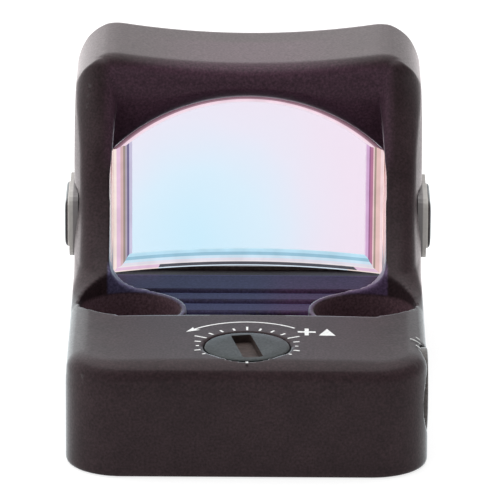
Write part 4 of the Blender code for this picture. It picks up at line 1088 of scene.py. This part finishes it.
def windage_ticks():
    """Index lines that run from the deck over its right edge."""
    half = EDGE_TICK_HALF
    section = ((-half, -PAINT_SINK), (half, -PAINT_SINK), (half, TICK_PAINT_LIFT),
               (-half, TICK_PAINT_LIFT))
    verts, faces = [], []
    for start_x, start_y, end_x, end_y in EDGE_TICKS:
        base = len(verts)
        for i in range(EDGE_TICK_STEPS + 1):
            part = i / EDGE_TICK_STEPS
            x, y = start_x + (end_x - start_x) * part, start_y + (end_y - start_y) * part
            verts += [(x, y + aside, edge_height(x) + lift) for aside, lift in section]
        last = base + 4 * EDGE_TICK_STEPS
        for row in range(base, last, 4):
            faces += band_faces(row, row + 4, 4)
        faces.append(tuple(base + k for k in range(4)))
        faces.append(tuple(last + 3 - k for k in range(4)))
    return mesh_object("windage_ticks", verts, faces, [MATERIALS["marking_paint"]], smooth=False)


marks = deck_markings()
side_ticks = windage_ticks()
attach(side_ticks, ROOT)
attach(marks, ROOT)

# ------------------------------------------------------------------ buttons
CAP_HALF_Y, CAP_HALF_Z, CAP_CORNER = 3.05, 2.0, 0.85
CAP_SHOULDER = 0.38                     # where the rounding starts, below the top
CAP_ROUND_IN, CAP_ROUND_UP, CAP_ROUND_STEPS = 0.42, 0.30, 6


def button_cap(side, sign):
    """Cap that faces outwards along X, lofted from its base to its slightly domed top."""
    low, high, (_, y, z) = box_mm(side + "_button")
    base, top = sorted((abs(low[0]), abs(high[0])))
    rim = rounded_loop(y, z, CAP_HALF_Y, CAP_HALF_Z, CAP_CORNER)
    loops = [(base, rim), (top - 0.62, rim), (top - CAP_SHOULDER, rim)]
    for k in range(1, CAP_ROUND_STEPS + 1):
        angle = (pi / 2) * k / CAP_ROUND_STEPS
        inset = CAP_ROUND_IN * (1 - cos(angle))
        loops.append((top - CAP_SHOULDER + CAP_ROUND_UP * sin(angle),
                      rounded_loop(y, z, CAP_HALF_Y - inset, CAP_HALF_Z - inset,
                                   CAP_CORNER - inset * 0.8)))
    loops.append((top - 0.04, rounded_loop(y, z, 2.2, 1.2, 0.5)))
    loops.append((top, rounded_loop(y, z, 1.4, 0.7, 0.4)))

    count = len(rim)
    verts = [(sign * x, u, v) for x, loop in loops for u, v in loop]
    faces = []
    for k in range(len(loops) - 1):
        faces += band_faces(k * count, (k + 1) * count, count)
    faces.append(tuple(range(count)))
    faces.append(tuple(range(len(verts) - 1, len(verts) - count - 1, -1)))
    # the first band has the flank tone, the next two the bezel tone, both painted highlight
    slots = [2] * count + [1] * (2 * count)
    slots += [0] * (len(faces) - len(slots))
    return mesh_object(side + "_button_cap", verts, faces,
                       [CAP_MAT, MATERIALS["bezel_painted_highlight"], MATERIALS["cap_flank_painted_highlight"]],
                       slots, sharp=40)


for side, sign in (("right", 1), ("left", -1)):
    cap = button_cap(side, sign)
    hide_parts(side + "_button")
    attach(cap, side + "_button_body")

# ------------------------------------------------------------------ kept pieces
# the emitter window is a painted glow in pale grey, mostly clear
MATERIALS["pane_glass"] = rim_glass("pane_glass", (150, 158, 166), clear=0.75)
KEPT_PIECES = {
    "glue_bead": ("lens_adhesive_bead",),
    "seal_rubber": ("elevation_oring", "windage_oring", "base_seal"),
    "plain_steel": (
        "elevation_retaining_clip", "elevation_detent_ball", "elevation_detent_spring",
        "windage_retaining_clip", "windage_detent_ball", "windage_detent_spring",
        "reticle_mask", "carriage_bias_spring", "coin_cell", "battery_positive_contact",
        "base_plate_screw_1", "base_plate_screw_2", "base_plate_screw_3", "base_plate_screw_4"),
    "machined_brass": ("elevation_slide", "windage_nut", "battery_negative_contact"),
    "moulded_black": ("emitter_carriage", "left_switch_body", "right_switch_body",
                      "microcontroller"),
    "led_resin": ("led_emitter",),
    "flex_film": ("emitter_flex_cable",),
    "bezel_painted_highlight": ("left_button_bezel", "right_button_bezel"),
    "moulded_red": ("left_switch_plunger", "right_switch_plunger"),
    "solder_mask": ("main_circuit_board",),
    "insulator_film": ("battery_insulator",),
    "plate_phosphate": ("base_plate",),
    "pane_glass": ("emitter_window",),
}
for finish, nodes in KEPT_PIECES.items():
    for node in nodes:
        slots = frame["nodes"][node].data.materials
        slots.clear()
        slots.append(MATERIALS[finish])


# ------------------------------------------------------------------ stage (metres)
def build_floor():
    """Bright floor just below the housing."""
    half, z = 3.0, ORIGIN[2] - 0.00002
    material, graph = new_material("stage_floor")
    graph.finish(graph.node("AddShader", {
        0: graph.node("BsdfDiffuse", {"Color": grey(0.40)}),
        1: graph.node("Emission", {"Strength": 0.72})}))
    mesh = bpy.data.meshes.new("floor")
    corners = [(-half, -half, z), (half, -half, z), (half, half, z), (-half, half, z)]
    mesh.from_pydata(corners, [], [(0, 1, 2, 3)])
    mesh.materials.append(material)
    return link_object("floor", mesh)


def build_world():
    """Studio light, brighter from the front and the left; the camera sees plain white."""
    studio = bpy.data.worlds.new("studio")
    studio.use_nodes = True
    bpy.context.scene.world = studio
    graph = Graph(studio.node_tree)
    ways = graph.node("SeparateXYZ", {"Vector": graph.node("TexCoord").outputs["Generated"]})
    from_front = graph.map_range(ways.outputs["Y"], -0.75, 0.25, to=(0.28, 1.05),
                                 interpolation_type="SMOOTHSTEP")
    from_left = graph.map_range(ways.outputs["X"], -0.75, 0.75, to=(1.55, 0.50),
                                interpolation_type="SMOOTHSTEP")
    strength = graph.math("MULTIPLY", from_front, from_left)
    graph.finish(graph.mix_shader(
        graph.node("LightPath").outputs["Is Camera Ray"],
        graph.node("Background", {"Color": grey(1.0), "Strength": strength}),
        graph.node("Background", {"Color": grey(0.97), "Strength": 1.0})), "OutputWorld")


def build_light():
    light = bpy.data.lights.new("overhead", "AREA")
    light.shape = "RECTANGLE"
    light.size, light.size_y = 0.8, 0.6
    light.energy = 3.2
    lamp = link_object("overhead", light)
    place = Vector((0.0, 0.10, 0.60))
    lamp.location = place
    lamp.rotation_mode = "QUATERNION"
    lamp.rotation_quaternion = (-place).to_track_quat("-Z", "Y")


build_floor()
build_world()
build_light()

# ------------------------------------------------------------------ camera
CAMERA_DISTANCE = 504.0                 # from the lower rear edge, along the view
CAMERA_RISE, CAMERA_ASIDE = 17.5301, 0.184446   # from that edge: up the view, to the right
CAMERA_PITCH, CAMERA_ROLL = radians(18.2), radians(0.33)
FOCAL_LENGTH, SENSOR_WIDTH = 472.176, 36.0


def build_camera():
    """Long lens that looks forwards and down on the rear."""
    settings = bpy.data.cameras.new("camera")
    camera = link_object("camera", settings)
    settings.sensor_width = SENSOR_WIDTH
    settings.lens = FOCAL_LENGTH
    settings.clip_start = 0.01
    settings.clip_end = 50.0
    view = Vector((0, cos(CAMERA_PITCH), -sin(CAMERA_PITCH)))
    up = Vector((0, sin(CAMERA_PITCH), cos(CAMERA_PITCH)))
    place = up * CAMERA_RISE - view * CAMERA_DISTANCE + Vector((CAMERA_ASIDE, 0, 0))
    camera.location = world(*place)
    camera.rotation_mode = "QUATERNION"
    roll = Quaternion((0.0, 0.0, 1.0), CAMERA_ROLL)
    camera.rotation_quaternion = view.to_track_quat("-Z", "Y") @ roll
    bpy.context.scene.camera = camera


build_camera()
bpy.context.scene.view_settings.view_transform = "Standard"
bpy.context.scene.view_settings.look = "None"
